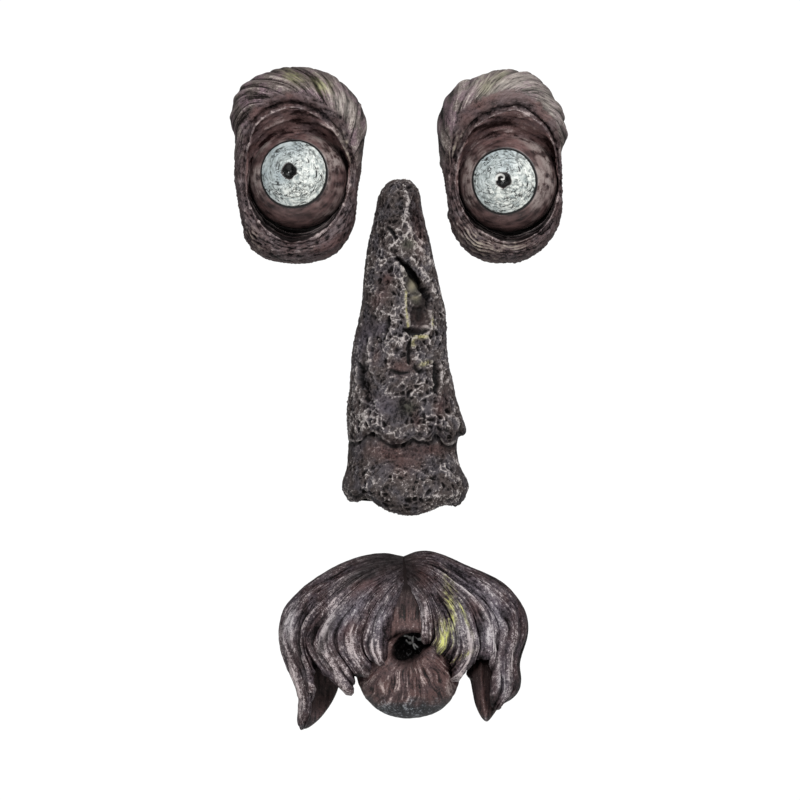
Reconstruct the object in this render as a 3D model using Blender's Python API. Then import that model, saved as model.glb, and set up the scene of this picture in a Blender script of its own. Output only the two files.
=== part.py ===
"""Tree face: two eyes, a nose and a mouth under a moustache, cast in resin to hang on a tree trunk.

Metres, +Z up, +X to the right of someone who looks at the face. The trunk's surface is the plane
Y = 0, the face looks along -Y, and the origin is the middle of the nose's flat back.
Each carving is drawn in millimetres at its drawn size and stretched to its own width, height and
depth, which are the driving sizes below.
"""

import bpy
import bmesh
import numpy as np

# Where the four castings hang, from the middle of the nose's back to each one's own centre.
LEFT_EYE_AT = (-0.0468, 0.0720)
RIGHT_EYE_AT = (0.0473, 0.0707)
NOSE_AT = (0.0, 0.0)
MOUTH_AT = (0.0005, -0.1350)

# Eyes, in metres. The centre of an eye is the middle of its eyeball.
LEFT_EYE_WIDTH = 0.0625
LEFT_EYE_HEIGHT = 0.0890
RIGHT_EYE_WIDTH = 0.0595
RIGHT_EYE_HEIGHT = 0.0875
EYE_DEPTH = 0.0360
EYEBALL_DIAMETER = 0.0450
EYEBALL_FRONT = 0.0340
IRIS_DIAMETER = 0.0300
IRIS_STEP = 0.0005
PUPIL_DIAMETER = 0.0072
PUPIL_DEPTH = 0.0025

# Nose and mouth, in metres.
NOSE_WIDTH = 0.0572
NOSE_HEIGHT = 0.1518
NOSE_DEPTH = 0.0380
MOUTH_WIDTH = 0.1125
MOUTH_HEIGHT = 0.0815
MOUTH_DEPTH = 0.0340
LIPS_DIAMETER = 0.0470
MOUTH_HOLE_WIDTH = 0.0170
MOUTH_HOLE_DEPTH = 0.0140

# The slot in each flat back that goes over a screw head.
SLOT_WIDTH = 0.0080
SLOT_HEIGHT = 0.0140
SLOT_DEPTH = 0.0090
EYE_SLOT_RISE = 0.0280
NOSE_SLOT_RISE = 0.0350
MOUTH_SLOT_RISE = 0.0200

MM = 0.001
RESIN_COLOUR = (0.085, 0.066, 0.064, 1.0)


# Curves and meshes shared by the castings.


def smooth_loop(points, steps=10):
    """Points of the closed Catmull-Rom curve through the given points, steps to each stretch."""
    p = np.asarray(points, float)
    before, start, end, after = np.roll(p, 1, 0), p, np.roll(p, -1, 0), np.roll(p, -2, 0)
    t = np.linspace(0, 1, steps, endpoint=False)[:, None, None]
    curve = 0.5 * (
        2 * start
        + (end - before) * t
        + (2 * before - 5 * start + 4 * end - after) * t**2
        + (3 * start - before - 3 * end + after) * t**3
    )
    return curve.transpose(1, 0, 2).reshape(-1, p.shape[1])


def smooth_path(points, count):
    """count points, evenly numbered, on the open Catmull-Rom curve through the given points."""
    p = np.asarray(points, float)
    padded = np.vstack([2 * p[0] - p[1], p, 2 * p[-1] - p[-2]])
    place = np.linspace(0, len(p) - 1, count)
    i = np.minimum(place.astype(int), len(p) - 2)
    t = (place - i)[:, None]
    before, start, end, after = (padded[i + k] for k in range(4))
    return 0.5 * (
        2 * start
        + (end - before) * t
        + (2 * before - 5 * start + 4 * end - after) * t**2
        + (3 * start - before - 3 * end + after) * t**3
    )


def reach(outline, angles):
    """How far a closed outline lies from its centre in each direction."""
    curve = smooth_loop(outline)
    directions = np.arctan2(curve[:, 1], curve[:, 0])
    return np.interp(angles, directions, np.hypot(curve[:, 0], curve[:, 1]), period=2 * np.pi)


def smooth_step(low, high, value):
    """0 below low, 1 above high, and an S-shaped rise between."""
    t = np.clip((value - low) / (high - low), 0, 1)
    return t * t * (3 - 2 * t)


def mound(x, z, at, size, turn=0.0):
    """A hill 1 high and of the given half sizes, turned by an angle, that falls off smoothly."""
    c, s = np.cos(turn), np.sin(turn)
    along, across = (x - at[0]) * c + (z - at[1]) * s, (z - at[1]) * c - (x - at[0]) * s
    return np.exp(-((along / size[0]) ** 2) - (across / size[1]) ** 2)


def mesh_object(name, collection, vertices, faces, colour=RESIN_COLOUR):
    """A closed mesh object with a resin material, its faces pointing out."""
    mesh = bpy.data.meshes.new(name)
    mesh.from_pydata(np.asarray(vertices, float).tolist(), [], [list(face) for face in faces])
    shape = bmesh.new()
    shape.from_mesh(mesh)
    bmesh.ops.recalc_face_normals(shape, faces=shape.faces)
    shape.to_mesh(mesh)
    shape.free()
    mesh.shade_smooth()
    mesh.set_sharp_from_angle(angle=np.radians(50))
    mesh.materials.append(resin(colour))
    made = bpy.data.objects.new(name, mesh)
    collection.objects.link(made)
    return made


def resin(colour):
    """Painted cast resin."""
    name = "painted resin"
    if name in bpy.data.materials:
        return bpy.data.materials[name]
    material = bpy.data.materials.new(name)
    material.use_nodes = True
    shader = material.node_tree.nodes["Principled BSDF"]
    shader.inputs["Base Color"].default_value = colour
    shader.inputs["Roughness"].default_value = 0.6
    shader.inputs["Metallic"].default_value = 0.0
    return material


def loft(name, collection, rings):
    """A solid through closed rings of equally many points, with a flat cap on the first and last."""
    count, around = len(rings), len(rings[0])
    faces = [list(range(around)), list(range((count - 1) * around, count * around))]
    for ring in range(count - 1):
        for k in range(around):
            a, b = ring * around + k, ring * around + (k + 1) % around
            faces.append([a, b, b + around, a + around])
    return mesh_object(name, collection, np.vstack(rings), faces)


def quilt(name, collection, grid):
    """A solid under a grid of points whose four edges lie in one plane, closed by that plane."""
    rows, columns = grid.shape[:2]
    number = np.arange(rows * columns).reshape(rows, columns)
    faces = [
        [number[r, c], number[r, c + 1], number[r + 1, c + 1], number[r + 1, c]]
        for r in range(rows - 1)
        for c in range(columns - 1)
    ]
    edge = [*number[0, :-1], *number[:-1, -1], *number[-1, :0:-1], *number[:0:-1, 0]]
    faces.append(edge)
    return mesh_object(name, collection, grid.reshape(-1, 3), faces)


def box_cutter(name, collection, low, high):
    """A box from its lowest to its highest corner, as a guide that a Boolean cuts with."""
    bpy.ops.mesh.primitive_cube_add(size=1)
    box = bpy.context.object
    box.name = name
    corners = np.array([low, high], float)
    for vertex in box.data.vertices:
        vertex.co = [corners[int(share > 0), axis] for axis, share in enumerate(vertex.co)]
    for held in list(box.users_collection):
        held.objects.unlink(box)
    collection.objects.link(box)
    return as_guide(box)


def as_guide(helper):
    """Marks an object as a helper that isn't part of the model."""
    helper.hide_render = True
    helper.display_type = "WIRE"
    return helper


def boolean(target, operation, other):
    """Joins or cuts target with another object or a collection of them."""
    modifier = target.modifiers.new(f"{operation.lower()} {other.name}", "BOOLEAN")
    modifier.operation = operation
    modifier.solver = "EXACT"
    if isinstance(other, bpy.types.Collection):
        modifier.operand_type = "COLLECTION"
        modifier.collection = other
    else:
        modifier.object = other


def hanging_slot(target, collection, at, rise):
    """Cuts the slot for a screw head into a flat back, its middle that far above the centre."""
    x, z = at[0], at[1] + rise
    low = (x - SLOT_WIDTH / 2, -SLOT_DEPTH, z - SLOT_HEIGHT / 2)
    high = (x + SLOT_WIDTH / 2, SLOT_DEPTH, z + SLOT_HEIGHT / 2)
    boolean(target, "DIFFERENCE", box_cutter(f"{target.name} slot cutter", collection, low, high))


# The eyes: an eyeball in a lidded socket, under a brow of combed hair.

EYE_COLUMNS = 48
EYE_CROWDING = 0.35
EYE_DRAWN = {"left": (62.5, 89.0), "right": (59.5, 87.5)}
EYE_DRAWN_DEPTH = 36.0
EYE_OUTLINE = {
    "left": [
        (-1, 51), (9.5, 49.5), (18.5, 45), (25.5, 38.5), (29.5, 32.5), (31, 25), (30.5, 17), (29, 8),
        (27.5, -2), (26.5, -12.5), (25.5, -20), (22.5, -27), (16.5, -34), (8.5, -37), (-1, -38),
        (-11, -37), (-18.5, -34), (-24, -28), (-26, -20), (-27.5, -11), (-29, -2), (-29.5, 5.5),
        (-29.5, 13.5), (-29.5, 19), (-31.5, 26), (-30.5, 33), (-28.5, 39), (-23.5, 44.5),
        (-16, 48), (-8.5, 50.5),
    ],
    "right": [
        (0, 51), (10, 49), (16.5, 44.5), (20, 40), (21.5, 37.5), (24.5, 33.5), (26, 27.5), (27, 20),
        (24.5, 14), (24.5, 7.5), (24.5, -3), (24.5, -12), (23, -19), (19.5, -25.5), (14.5, -31),
        (6.5, -35.5), (-1, -36.5), (-10.5, -35.5), (-17, -32.5), (-22.5, -27), (-26, -20),
        (-27, -13), (-28, -5.5), (-29.5, 3.5), (-31, 10.5), (-32, 16), (-32.5, 24), (-31.5, 32),
        (-28, 39), (-21.5, 45), (-12.5, 48), (-6, 50.5),
    ],
}
LID_EDGE = {
    "left": [
        (-4, 32), (2.5, 31), (9.5, 27.5), (16, 22), (20.5, 15), (24, 7), (24, -2), (21.5, -11),
        (16, -20), (8.5, -26.5), (0.5, -29), (-6.5, -28.5), (-15.5, -23), (-22, -13.5),
        (-24.5, -2), (-24, 9), (-22, 18), (-18.5, 25), (-12, 29.5),
    ],
    "right": [
        (1, 33.5), (5.5, 33), (11, 29.5), (16.5, 25), (20.5, 17), (22.5, 9), (23.5, -1), (22, -11),
        (18, -19), (11, -25), (2, -28), (-7, -26), (-16, -20), (-22, -11), (-24.5, -1),
        (-23.5, 9), (-20, 18), (-15.5, 25), (-8, 30.5),
    ],
}
# The gaze is how far the eyeball is turned to the right and up, in degrees. The brow's hair is
# combed away from the nose, so that over its length a hair goes this far round the eyeball.
GAZE = {"left": (-6.5, 6.5), "right": (-4.0, 2.5)}
HAIR_SWEEP = {"left": 44.0, "right": -44.0}
BROW_LOCKS = 12
BROW_LOCK_RELIEF = 1.3
# Depths round an eye: at its sides, then what its top and its bottom add, in millimetres.
LID_DEPTH = (18.5, 14.5, 4.0)
BROW_DEPTH = (17.5, 17.5, 6.0)
SOCKET_DEPTH = (9.0, 12.0)
# How many degrees of the eyeball the socket leaves free at its sides, and covers more above.
EYEBALL_FREE = 90.0
EYEBALL_LIDDED = 33.0
# From the socket's floor to the lid's edge: share of the way out, and of the way up.
SOCKET_PROFILE = ((0.25, 0.0), (0.7, 0.55), (1.0, 1.0))
LID_EDGE_WIDTH = 1.8
LID_EDGE_DROP = (1.0, 2.2)
# From the lid to the back: share of the way out, share of the depth, and how far locks show.
BROW_PROFILE = (
    (0.15, 0.955, 0.4), (0.32, 1.0, 0.9), (0.52, 0.99, 1.0), (0.72, 0.89, 1.0), (0.88, 0.70, 1.0),
    (1.0, 0.34, 0.6), (0.97, 0.0, 0.0),
)


def eyeball_ring(angles, spread, turn, radius, front):
    """A ring on the eyeball, spread degrees off a line that is turned right and up from straight
    ahead: each point's offset from the ball's centre, which lies a radius behind its front."""
    right, up = np.radians(turn[0]), np.radians(turn[1])
    ahead = np.array([np.sin(right) * np.cos(up), -np.cos(right) * np.cos(up), np.sin(up)])
    side = np.array([np.cos(right), np.sin(right), 0.0])
    over = np.cross(ahead, side)
    s = np.radians(spread)
    out = np.outer(np.cos(angles), side) + np.outer(np.sin(angles), over)
    points = radius * (np.cos(s)[:, None] * ahead + np.sin(s)[:, None] * out)
    points[:, 1] -= front - radius
    return points


def eye_angles(sweep=0.0):
    """The columns' directions round the eyeball, closer together over the brow. A sweep in degrees
    carries them round, as far as that at the top and not at all at the bottom."""
    even = np.linspace(0, 2 * np.pi, EYE_COLUMNS, endpoint=False)
    angles = even + EYE_CROWDING * np.cos(even)
    return angles + np.radians(sweep) * (0.5 + 0.5 * np.sin(angles))


def eye_rings(side, width, height):
    """The rings of one eye in millimetres, from the pupil out to the edge of the flat back."""
    angles = eye_angles()
    stretch = np.array([width / MM / EYE_DRAWN[side][0], height / MM / EYE_DRAWN[side][1]])
    deep = EYE_DEPTH / MM / EYE_DRAWN_DEPTH
    lid = reach(np.array(LID_EDGE[side]) * stretch, angles)
    up, down = np.clip(np.sin(angles), 0, 1) ** 1.5, np.clip(-np.sin(angles), 0, 1) ** 1.5
    level = np.ones(EYE_COLUMNS)

    radius, front = EYEBALL_DIAMETER / MM / 2, EYEBALL_FRONT / MM
    iris = np.degrees(np.arcsin(IRIS_DIAMETER / EYEBALL_DIAMETER))
    pupil = np.degrees(np.arcsin(PUPIL_DIAMETER / EYEBALL_DIAMETER))
    covered = EYEBALL_FREE - EYEBALL_LIDDED * up
    step = IRIS_STEP / MM

    def on_ball(spread, share, lift=0.0):
        """share is 0 round the gaze and 1 round straight ahead."""
        turn = np.array(GAZE[side]) * (1 - share)
        return eyeball_ring(angles, spread * level, turn, radius + lift, front + lift)

    rings = [
        on_ball(pupil * 0.55, 0, -PUPIL_DEPTH / MM),
        on_ball(pupil, 0, step),
        on_ball(iris * 0.42, 0, step),
        on_ball(iris * 0.72, 0, step),
        on_ball(iris, 0, step),
        on_ball(iris + 1.5, 0.1, 0.0),
        on_ball(iris + (covered - iris) * 0.35, 0.5),
        on_ball(iris + (covered - iris) * 0.7, 0.9),
        on_ball(covered, 1),
    ]

    def flat_ring(distance, depth):
        return np.stack([distance * np.cos(angles), -depth, distance * np.sin(angles)], axis=1)

    ball_edge = np.hypot(rings[-1][:, 0], rings[-1][:, 2])
    lid_depth = deep * (LID_DEPTH[0] + LID_DEPTH[1] * up + LID_DEPTH[2] * down)
    floor_depth = np.minimum(-rings[-1][:, 1] - step * 2, deep * (SOCKET_DEPTH[0] + SOCKET_DEPTH[1] * up))
    for out, over in SOCKET_PROFILE:
        depth = floor_depth + (lid_depth - floor_depth) * over
        rings.append(flat_ring(ball_edge + (lid - ball_edge) * out, depth))
    rings.append(flat_ring(lid + LID_EDGE_WIDTH, lid_depth - LID_EDGE_DROP[0] - LID_EDGE_DROP[1] * up))
    # Outside the lids the rings turn with the hair, so that each lock of it follows the columns.
    lock = np.cos(BROW_LOCKS * np.linspace(0, 2 * np.pi, EYE_COLUMNS, endpoint=False))
    for share, fullness, hairy in BROW_PROFILE:
        angles = eye_angles(HAIR_SWEEP[side] * share)
        outline = reach(np.array(EYE_OUTLINE[side]) * stretch, angles)
        lid = reach(np.array(LID_EDGE[side]) * stretch, angles)
        up, down = np.clip(np.sin(angles), 0, 1), np.clip(-np.sin(angles), 0, 1)
        depth = deep * (BROW_DEPTH[0] + BROW_DEPTH[1] * up**1.5 + BROW_DEPTH[2] * down**1.5) * fullness
        relief = BROW_LOCK_RELIEF * lock * hairy * smooth_step(0.15, 0.6, up)
        pulled_in = (relief - BROW_LOCK_RELIEF * hairy * up) * share**2
        distance = lid + (outline - lid) * share + pulled_in
        depth = depth + relief * (1 - share**2)
        ring = np.stack([distance * np.cos(angles), -depth, distance * np.sin(angles)], axis=1)
        rings.append(ring)
    return rings


def eye(side, collection, cutters, at, width, height):
    """One eye casting: pupil, iris, eyeball, lids, pouch and brow in one piece."""
    place = np.array([at[0], 0.0, at[1]])
    rings = [ring * MM + place for ring in eye_rings(side, width, height)]
    made = loft(f"eye_{side}", collection, rings)
    hanging_slot(made, cutters, at, EYE_SLOT_RISE)
    return made


# The nose: a sleeve of old bark with a ragged rim, over a smoother tip with two wings.

NOSE_DRAWN = (57.2, 151.8, 38.0)
NOSE_COLUMNS = 27
# Height of a section, its left and right edges, its depth, and how much it follows the rim and
# the underside, in millimetres and shares.
NOSE_SECTIONS = [
    (72.6, -3.0, 1.0, 0.0, 0, 0), (72.6, -4.5, 2.5, 4.0, 0, 0), (71.0, -6.8, 4.5, 8.0, 0, 0),
    (68.9, -9.0, 6.3, 11.0, 0, 0), (65.3, -10.8, 7.7, 13.5, 0, 0), (60.8, -11.9, 8.3, 15.5, 0, 0),
    (54.9, -13.0, 9.5, 17.0, 0, 0), (48.6, -14.6, 11.0, 18.5, 0, 0), (42.3, -15.8, 12.6, 20.0, 0, 0),
    (37.5, -16.5, 13.6, 21.2, 0, 0), (33.0, -17.1, 14.5, 22.2, 0, 0), (28.0, -17.7, 15.6, 23.3, 0, 0),
    (22.5, -18.0, 16.9, 24.5, 0, 0), (17.0, -18.4, 18.2, 25.8, 0, 0), (12.0, -19.2, 19.1, 26.6, 0, 0),
    (7.0, -20.3, 19.4, 27.3, 0, 0), (1.0, -21.8, 19.4, 28.2, 0, 0), (-5.0, -22.7, 19.6, 29.0, 0, 0),
    (-11.3, -23.2, 20.5, 30.0, 0, 0), (-18.0, -23.6, 22.0, 31.0, 0, 0),
    (-24.8, -24.3, 23.4, 32.0, 0, 0), (-31.5, -25.2, 25.2, 33.0, 0.15, 0),
    (-37.8, -25.2, 27.2, 33.6, 0.5, 0), (-42.3, -25.0, 28.4, 33.8, 0.9, 0),
    (-45.0, -24.8, 27.6, 32.8, 1, 0), (-45.9, -24.5, 25.0, 29.4, 1, 0),
    (-50.0, -24.8, 24.3, 30.2, 0.5, 0.05), (-54.5, -25.0, 24.8, 32.2, 0, 0.1),
    (-59.0, -25.6, 26.5, 35.2, 0, 0.2), (-63.5, -26.9, 28.6, 37.6, 0, 0.35),
    (-67.5, -27.5, 29.7, 37.8, 0, 0.6), (-70.6, -26.6, 29.0, 34.5, 0, 0.9),
    (-72.0, -25.5, 27.8, 29.0, 0, 1), (-72.0, -25.0, 27.3, 15.0, 0, 1), (-72.0, -24.8, 27.0, 0.0, 0, 1),
]
NOSE_FULLNESS = 0.8
NOSE_BASE = -72.0
# The ragged rim's rise over its straight line, and the underside's height, across the nose.
RIM = [
    (-25, 0), (-19, 0), (-16, 3.1), (-13, 4.5), (-9, 1.4), (-6, -0.9), (-1, -1.6), (4, 1.4), (8, 0),
    (12, 0), (15, 3.1), (17, 1.4), (20, -1.4), (23.5, -0.5), (27, 1.8),
]
UNDERSIDE = [
    (-26, -71.5), (-23, -73), (-19.5, -72.7), (-16, -71.5), (-10.5, -75.2), (-3.5, -78.3), (3, -79.2),
    (10, -78.3), (15.5, -75.8), (19.5, -74.5), (24, -75.2), (27, -72.9), (29, -70.2),
]
# Soft hollows in the bark: place, half sizes, turn in degrees and depth. First the bare wood
# beside the long split, then the edge beyond it, the low basin and the flank by the crevice.
NOSE_HOLLOWS = [
    ((4.5, 20.0), (12.5, 4.5), -84.0, 2.8), ((14.0, -17.5), (8.5, 2.6), -84.0, 1.6),
    ((0.0, -34.0), (8.5, 8.5), 0.0, 2.4), ((-18.0, -11.0), (13.0, 2.6), 84.0, 1.4),
]
# Swellings: the two wings of the nostrils.
NOSE_WINGS = [((-22.0, -67.0), (6.0, 5.5), 2.2), ((23.5, -68.0), (6.0, 5.5), 2.2)]
# Cracks in the bark: half width at the middle, depth, and the line each follows. They are the
# long split, the two short cracks below it, the crevice at the left and the pit at the right.
NOSE_CRACKS = [
    (2.2, 5.5, [(-2.7, 37.3), (1.2, 33.0), (4.8, 28.0), (8.0, 23.0), (12.2, 15.5)]),
    (1.3, 4.5, [(0.5, 4.5), (6.0, 3.2), (12.2, 4.0)]),
    (1.3, 4.5, [(3.0, 1.5), (2.2, -4.5), (2.6, -11.5)]),
    (1.8, 6.0, [(-16.4, 1.0), (-17.2, -7.0), (-18.0, -14.0), (-18.7, -22.0)]),
    (1.7, 3.0, [(13.6, -10.5), (14.6, -17.0), (14.2, -24.5)]),
]
CRACK_CLEARANCE = 4.0


def nose_grid():
    """The front of the nose as rows of points from its top to its underside, edges on the trunk."""
    sections = np.array(NOSE_SECTIONS, float)
    turn = np.linspace(np.pi, 0, NOSE_COLUMNS)
    middle = (sections[:, 1] + sections[:, 2]) / 2
    half = (sections[:, 2] - sections[:, 1]) / 2
    x = middle[:, None] + half[:, None] * np.cos(turn)
    bulge = np.sin(turn) ** NOSE_FULLNESS
    bulge[[0, -1]] = 0.0
    rim, underside = np.array(RIM), np.array(UNDERSIDE)
    rim_rise = np.interp(x, rim[:, 0], rim[:, 1])
    base_rise = np.interp(x, underside[:, 0], underside[:, 1]) - NOSE_BASE
    z = sections[:, :1] + sections[:, 4:5] * rim_rise + sections[:, 5:6] * base_rise
    depth = sections[:, 3:4] * bulge
    for at, size, degrees, hollow in NOSE_HOLLOWS:
        depth -= hollow * mound(x, z, at, size, np.radians(degrees)) * bulge
    for at, size, swelling in NOSE_WINGS:
        depth += swelling * mound(x, z, at, size) * smooth_step(0, 12, depth)
    return np.stack([x, -np.maximum(depth, 0), z], axis=-1)


def nose_front(x, z):
    """How far the smooth nose stands off the trunk at a place, in millimetres."""
    sections = np.array(NOSE_SECTIONS, float)[::-1]
    left, right, depth = (np.interp(z, sections[:, 0], sections[:, k]) for k in (1, 2, 3))
    aside = (2 * x - left - right) / (right - left)
    return depth * np.clip(1 - aside**2, 0.05, 1) ** (NOSE_FULLNESS / 2)


def crack_rings(half_width, cut, line):
    """A crack to cut out: four-sided sections square to its line, pinched at both ends."""
    path = smooth_path(line, 2 * len(line) - 1)
    along = np.gradient(path, axis=0)
    along /= np.linalg.norm(along, axis=1, keepdims=True)
    open_share = 0.25 + 0.75 * np.sin(np.linspace(0, np.pi, len(path))) ** 0.7
    front = nose_front(path[:, 0], path[:, 1])
    rings = []
    for k, (x, z) in enumerate(path):
        wide = half_width * open_share[k] * np.array([-1.6, 1.6, 0.35, -0.35])
        deep = np.array([CRACK_CLEARANCE, CRACK_CLEARANCE, -cut * open_share[k], -cut * open_share[k]])
        points = [x - along[k, 1] * wide, -(front[k] + deep), z + along[k, 0] * wide]
        rings.append(np.stack(points, axis=1))
    return rings


def nose(collection, cutters, cracks):
    """The nose casting in one piece."""
    size = np.array([NOSE_WIDTH, NOSE_DEPTH, NOSE_HEIGHT])
    drawn = np.array([NOSE_DRAWN[0], NOSE_DRAWN[2], NOSE_DRAWN[1]])
    place = np.array([NOSE_AT[0], 0.0, NOSE_AT[1]])
    made = quilt("nose", collection, nose_grid() * size / drawn + place)
    for number, (half_width, cut, line) in enumerate(NOSE_CRACKS):
        rings = [ring * size / drawn + place for ring in crack_rings(half_width, cut, line)]
        as_guide(loft(f"crack {number + 1}", cracks, rings))
    boolean(made, "DIFFERENCE", cracks)
    hanging_slot(made, cutters, NOSE_AT, NOSE_SLOT_RISE)
    return made


# The mouth: pouting lips below a moustache of heavy locks with two hanging ends.

MOUTH_DRAWN = (112.5, 81.5, 34.0)
MOUSTACHE_MIDDLE = (0.0, 10.0)
MOUSTACHE_OUTLINE = [
    (0, 39.2), (-6.3, 38.9), (-14.4, 39.2), (-24.3, 36.9), (-32.4, 33.3), (-41.4, 27.9),
    (-48.2, 22.5), (-52.7, 16.2), (-55.4, 8.1), (-56.5, 0), (-55.4, -6.3), (-52, -13), (-46, -15),
    (-36, -14), (-26, -13), (-15, -10), (-8, -3), (-3, 5), (5, 5), (10, 3.5), (15, -1), (25, -10),
    (36, -13), (47, -13.5), (51.8, -10), (52.7, -4.5), (54.9, 1.8), (56, 8.1), (54.9, 14.4),
    (51.8, 19.8), (46.8, 23.9), (38.7, 29.3), (30.6, 33.3), (23.4, 36.7), (16.2, 39.2), (9, 40.3),
]
LEFT_END_MIDDLE = (-39.0, -26.0)
LEFT_END = [
    (-47.5, -10), (-47, -20), (-46.7, -28), (-47.5, -36), (-45.8, -40.7), (-40, -38.8), (-34, -32.5),
    (-30.5, -27), (-29, -19), (-30, -10), (-38, -8),
]
RIGHT_END_MIDDLE = (41.0, -22.0)
RIGHT_END = [
    (29.5, -11), (30, -18), (32, -29), (34.7, -35), (37, -37.8), (39.2, -35), (42, -31), (47.7, -28.2),
    (51.8, -23.5), (52.3, -16), (51.8, -9), (40, -7),
]
# Each lock: half width at its root and its end, how far it stands proud of the moustache, and its
# middle line from root to end.
LOCKS = [
    (4.6, 3.2, 1.3, [(-7, 36.5), (-29, 29.5), (-44, 17), (-51, 1), (-49, -12.6), (-45, -25), (-44.3, -35)]),
    (4.3, 2.8, 2.0, [(-8, 34.5), (-31, 25), (-43, 12), (-46.5, 0), (-44.5, -12), (-41, -24), (-41.5, -33)]),
    (4.3, 2.8, 1.3, [(-8, 31.5), (-28, 20.5), (-37.5, 9), (-41, -2), (-40, -10.5)]),
    (4.8, 2.4, 2.2, [(-8, 29.5), (-24.5, 17.5), (-34, 6), (-36, -5.5), (-31, -14), (-24.4, -22)]),
    (4.7, 2.6, 1.4, [(-7, 27), (-20, 13.5), (-28, 1), (-30.5, -8), (-28, -14.5)]),
    (4.8, 2.6, 2.0, [(-6, 25.5), (-15.5, 10), (-22.5, -1.5), (-24.5, -9), (-22.8, -17)]),
    (4.4, 2.4, 1.3, [(-4.5, 24), (-11, 6.5), (-16.5, -4.5), (-16.8, -12.5)]),
    (4.0, 2.4, 1.8, [(-3, 23), (-7, 5), (-11.5, -6), (-13, -12)]),
    (3.0, 2.0, 1.2, [(-1.5, 23), (-3, 7.5), (-6.3, -3), (-8, -9.5)]),
    (3.8, 2.4, 1.4, [(5.5, 37), (8.5, 20), (8.5, 8), (11.5, 0)]),
    (4.4, 2.4, 2.1, [(10, 38), (15, 22.5), (14, 9), (16, -1.5)]),
    (4.2, 2.4, 1.5, [(15, 37), (22, 21), (21.5, 7), (19.5, -3)]),
    (4.6, 2.4, 2.2, [(20, 35.5), (29, 19.5), (28.5, 5.5), (28.2, -4), (24.5, -9.5), (19, -9.8)]),
    (4.8, 2.8, 1.5, [(25, 33.5), (35.5, 18.5), (35.5, 4.5), (31.5, -7), (26, -14)]),
    (5.2, 3.2, 2.1, [(30, 31), (42.5, 15.5), (41, 2.5), (38.5, -9), (42, -22), (38, -32)]),
    (4.8, 3.2, 1.4, [(36, 27.5), (49, 12.5), (48.5, 0), (46, -10), (47.5, -20), (43, -28)]),
]
LOCK_THICKNESS = 3.6
LOCK_UNDERSIDE = 6.5
LOCK_TOP_POINTS = 5
LOCK_STATIONS = 6
# The moustache's dome: its depth, how far it would reach up, down and aside, and its roundness.
MOUSTACHE_DEPTH = 30.5
MOUSTACHE_REACH = (31.0, 95.0, 59.0)
MOUSTACHE_ROUNDNESS = 2.4
MOUSTACHE_PROFILE = ((0.2, 1.0), (0.5, 1.0), (0.78, 0.97), (0.94, 0.86), (1.0, 0.6), (0.985, 0))
# The hanging ends: depth at the tip, its rise to the height, where their inner side starts and
# how wide they are, and how far the hair over them sinks between two heights.
END_DEPTH = 12.5
END_RISE = 0.3
END_TIP = -38.0
END_INNER_EDGE = 36.0
END_BREADTH = 14.0
END_SINKS = 9.0
END_SINKS_FROM = -15.0
END_PROFILE = ((0.5, 1.0), (0.85, 0.9), (1.0, 0.6), (1.0, 0.2), (0.97, 0))
# The lips' rings: share of the way from the hole's middle to the lips', radius as a share of the
# hole's and of the lips' diameter, and depth. The first lies at the bottom of the hole.
LIPS_FRONT = 26.0
LIPS_PROFILE = (
    (0.0, 0.34, 0.0, None), (0.0, 0.42, 0.0, 20.5), (0.05, 0.5, 0.0, 24.6), (0.15, 0.62, 0.0, 26.3),
    (0.4, 0.0, 0.36, 26.0), (0.7, 0.0, 0.45, 22.5), (1.0, 0.0, 0.5, 15.0), (1.0, 0.0, 0.5, 5.0),
    (1.0, 0.0, 0.485, -4.0),
)
LIPS_MIDDLE = (2.5, -11.5)
HOLE_MIDDLE = (3.5, -4.0)
LIP_WRINKLES = 12
LIP_WRINKLE_DEPTH = 0.7
MOUTH_COLUMNS = 34
BEHIND_TRUNK = 3.0


def moustache_depth(x, z):
    """How far the moustache stands off the trunk: a dome that is steep above and full below."""
    reach_up, reach_down, reach_aside = MOUSTACHE_REACH
    up = z - MOUSTACHE_MIDDLE[1]
    fall = np.where(up > 0, np.abs(up) / reach_up, np.abs(up) / reach_down)
    rest = 1 - np.abs(x / reach_aside) ** MOUSTACHE_ROUNDNESS - fall**MOUSTACHE_ROUNDNESS
    return MOUSTACHE_DEPTH * np.clip(rest, 0.02, 1) ** (1 / MOUSTACHE_ROUNDNESS)


def end_depth(x, z):
    """How far the moustache's hanging ends stand off the trunk: hollow on their inner side."""
    outward = np.clip((np.abs(x) - END_INNER_EDGE) / END_BREADTH, 0, 1)
    return END_DEPTH + END_RISE * (z - END_TIP) * outward


def dome(outline, middle, shares, depth_of, behind):
    """Rings of a flat-backed dome over an outline: depth_of gives the depth at a place, and shares
    pairs how far out a ring lies with the share of that depth it stands at."""
    angles = np.linspace(0, 2 * np.pi, MOUTH_COLUMNS, endpoint=False)
    out = reach(np.array(outline, float) - middle, angles)
    rings = []
    for share, fullness in shares:
        x = middle[0] + out * share * np.cos(angles)
        z = middle[1] + out * share * np.sin(angles)
        depth = depth_of(x, z) * fullness if fullness > 0 else -behind * np.ones_like(x)
        rings.append(np.stack([x, -depth, z], axis=1))
    return rings


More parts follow.
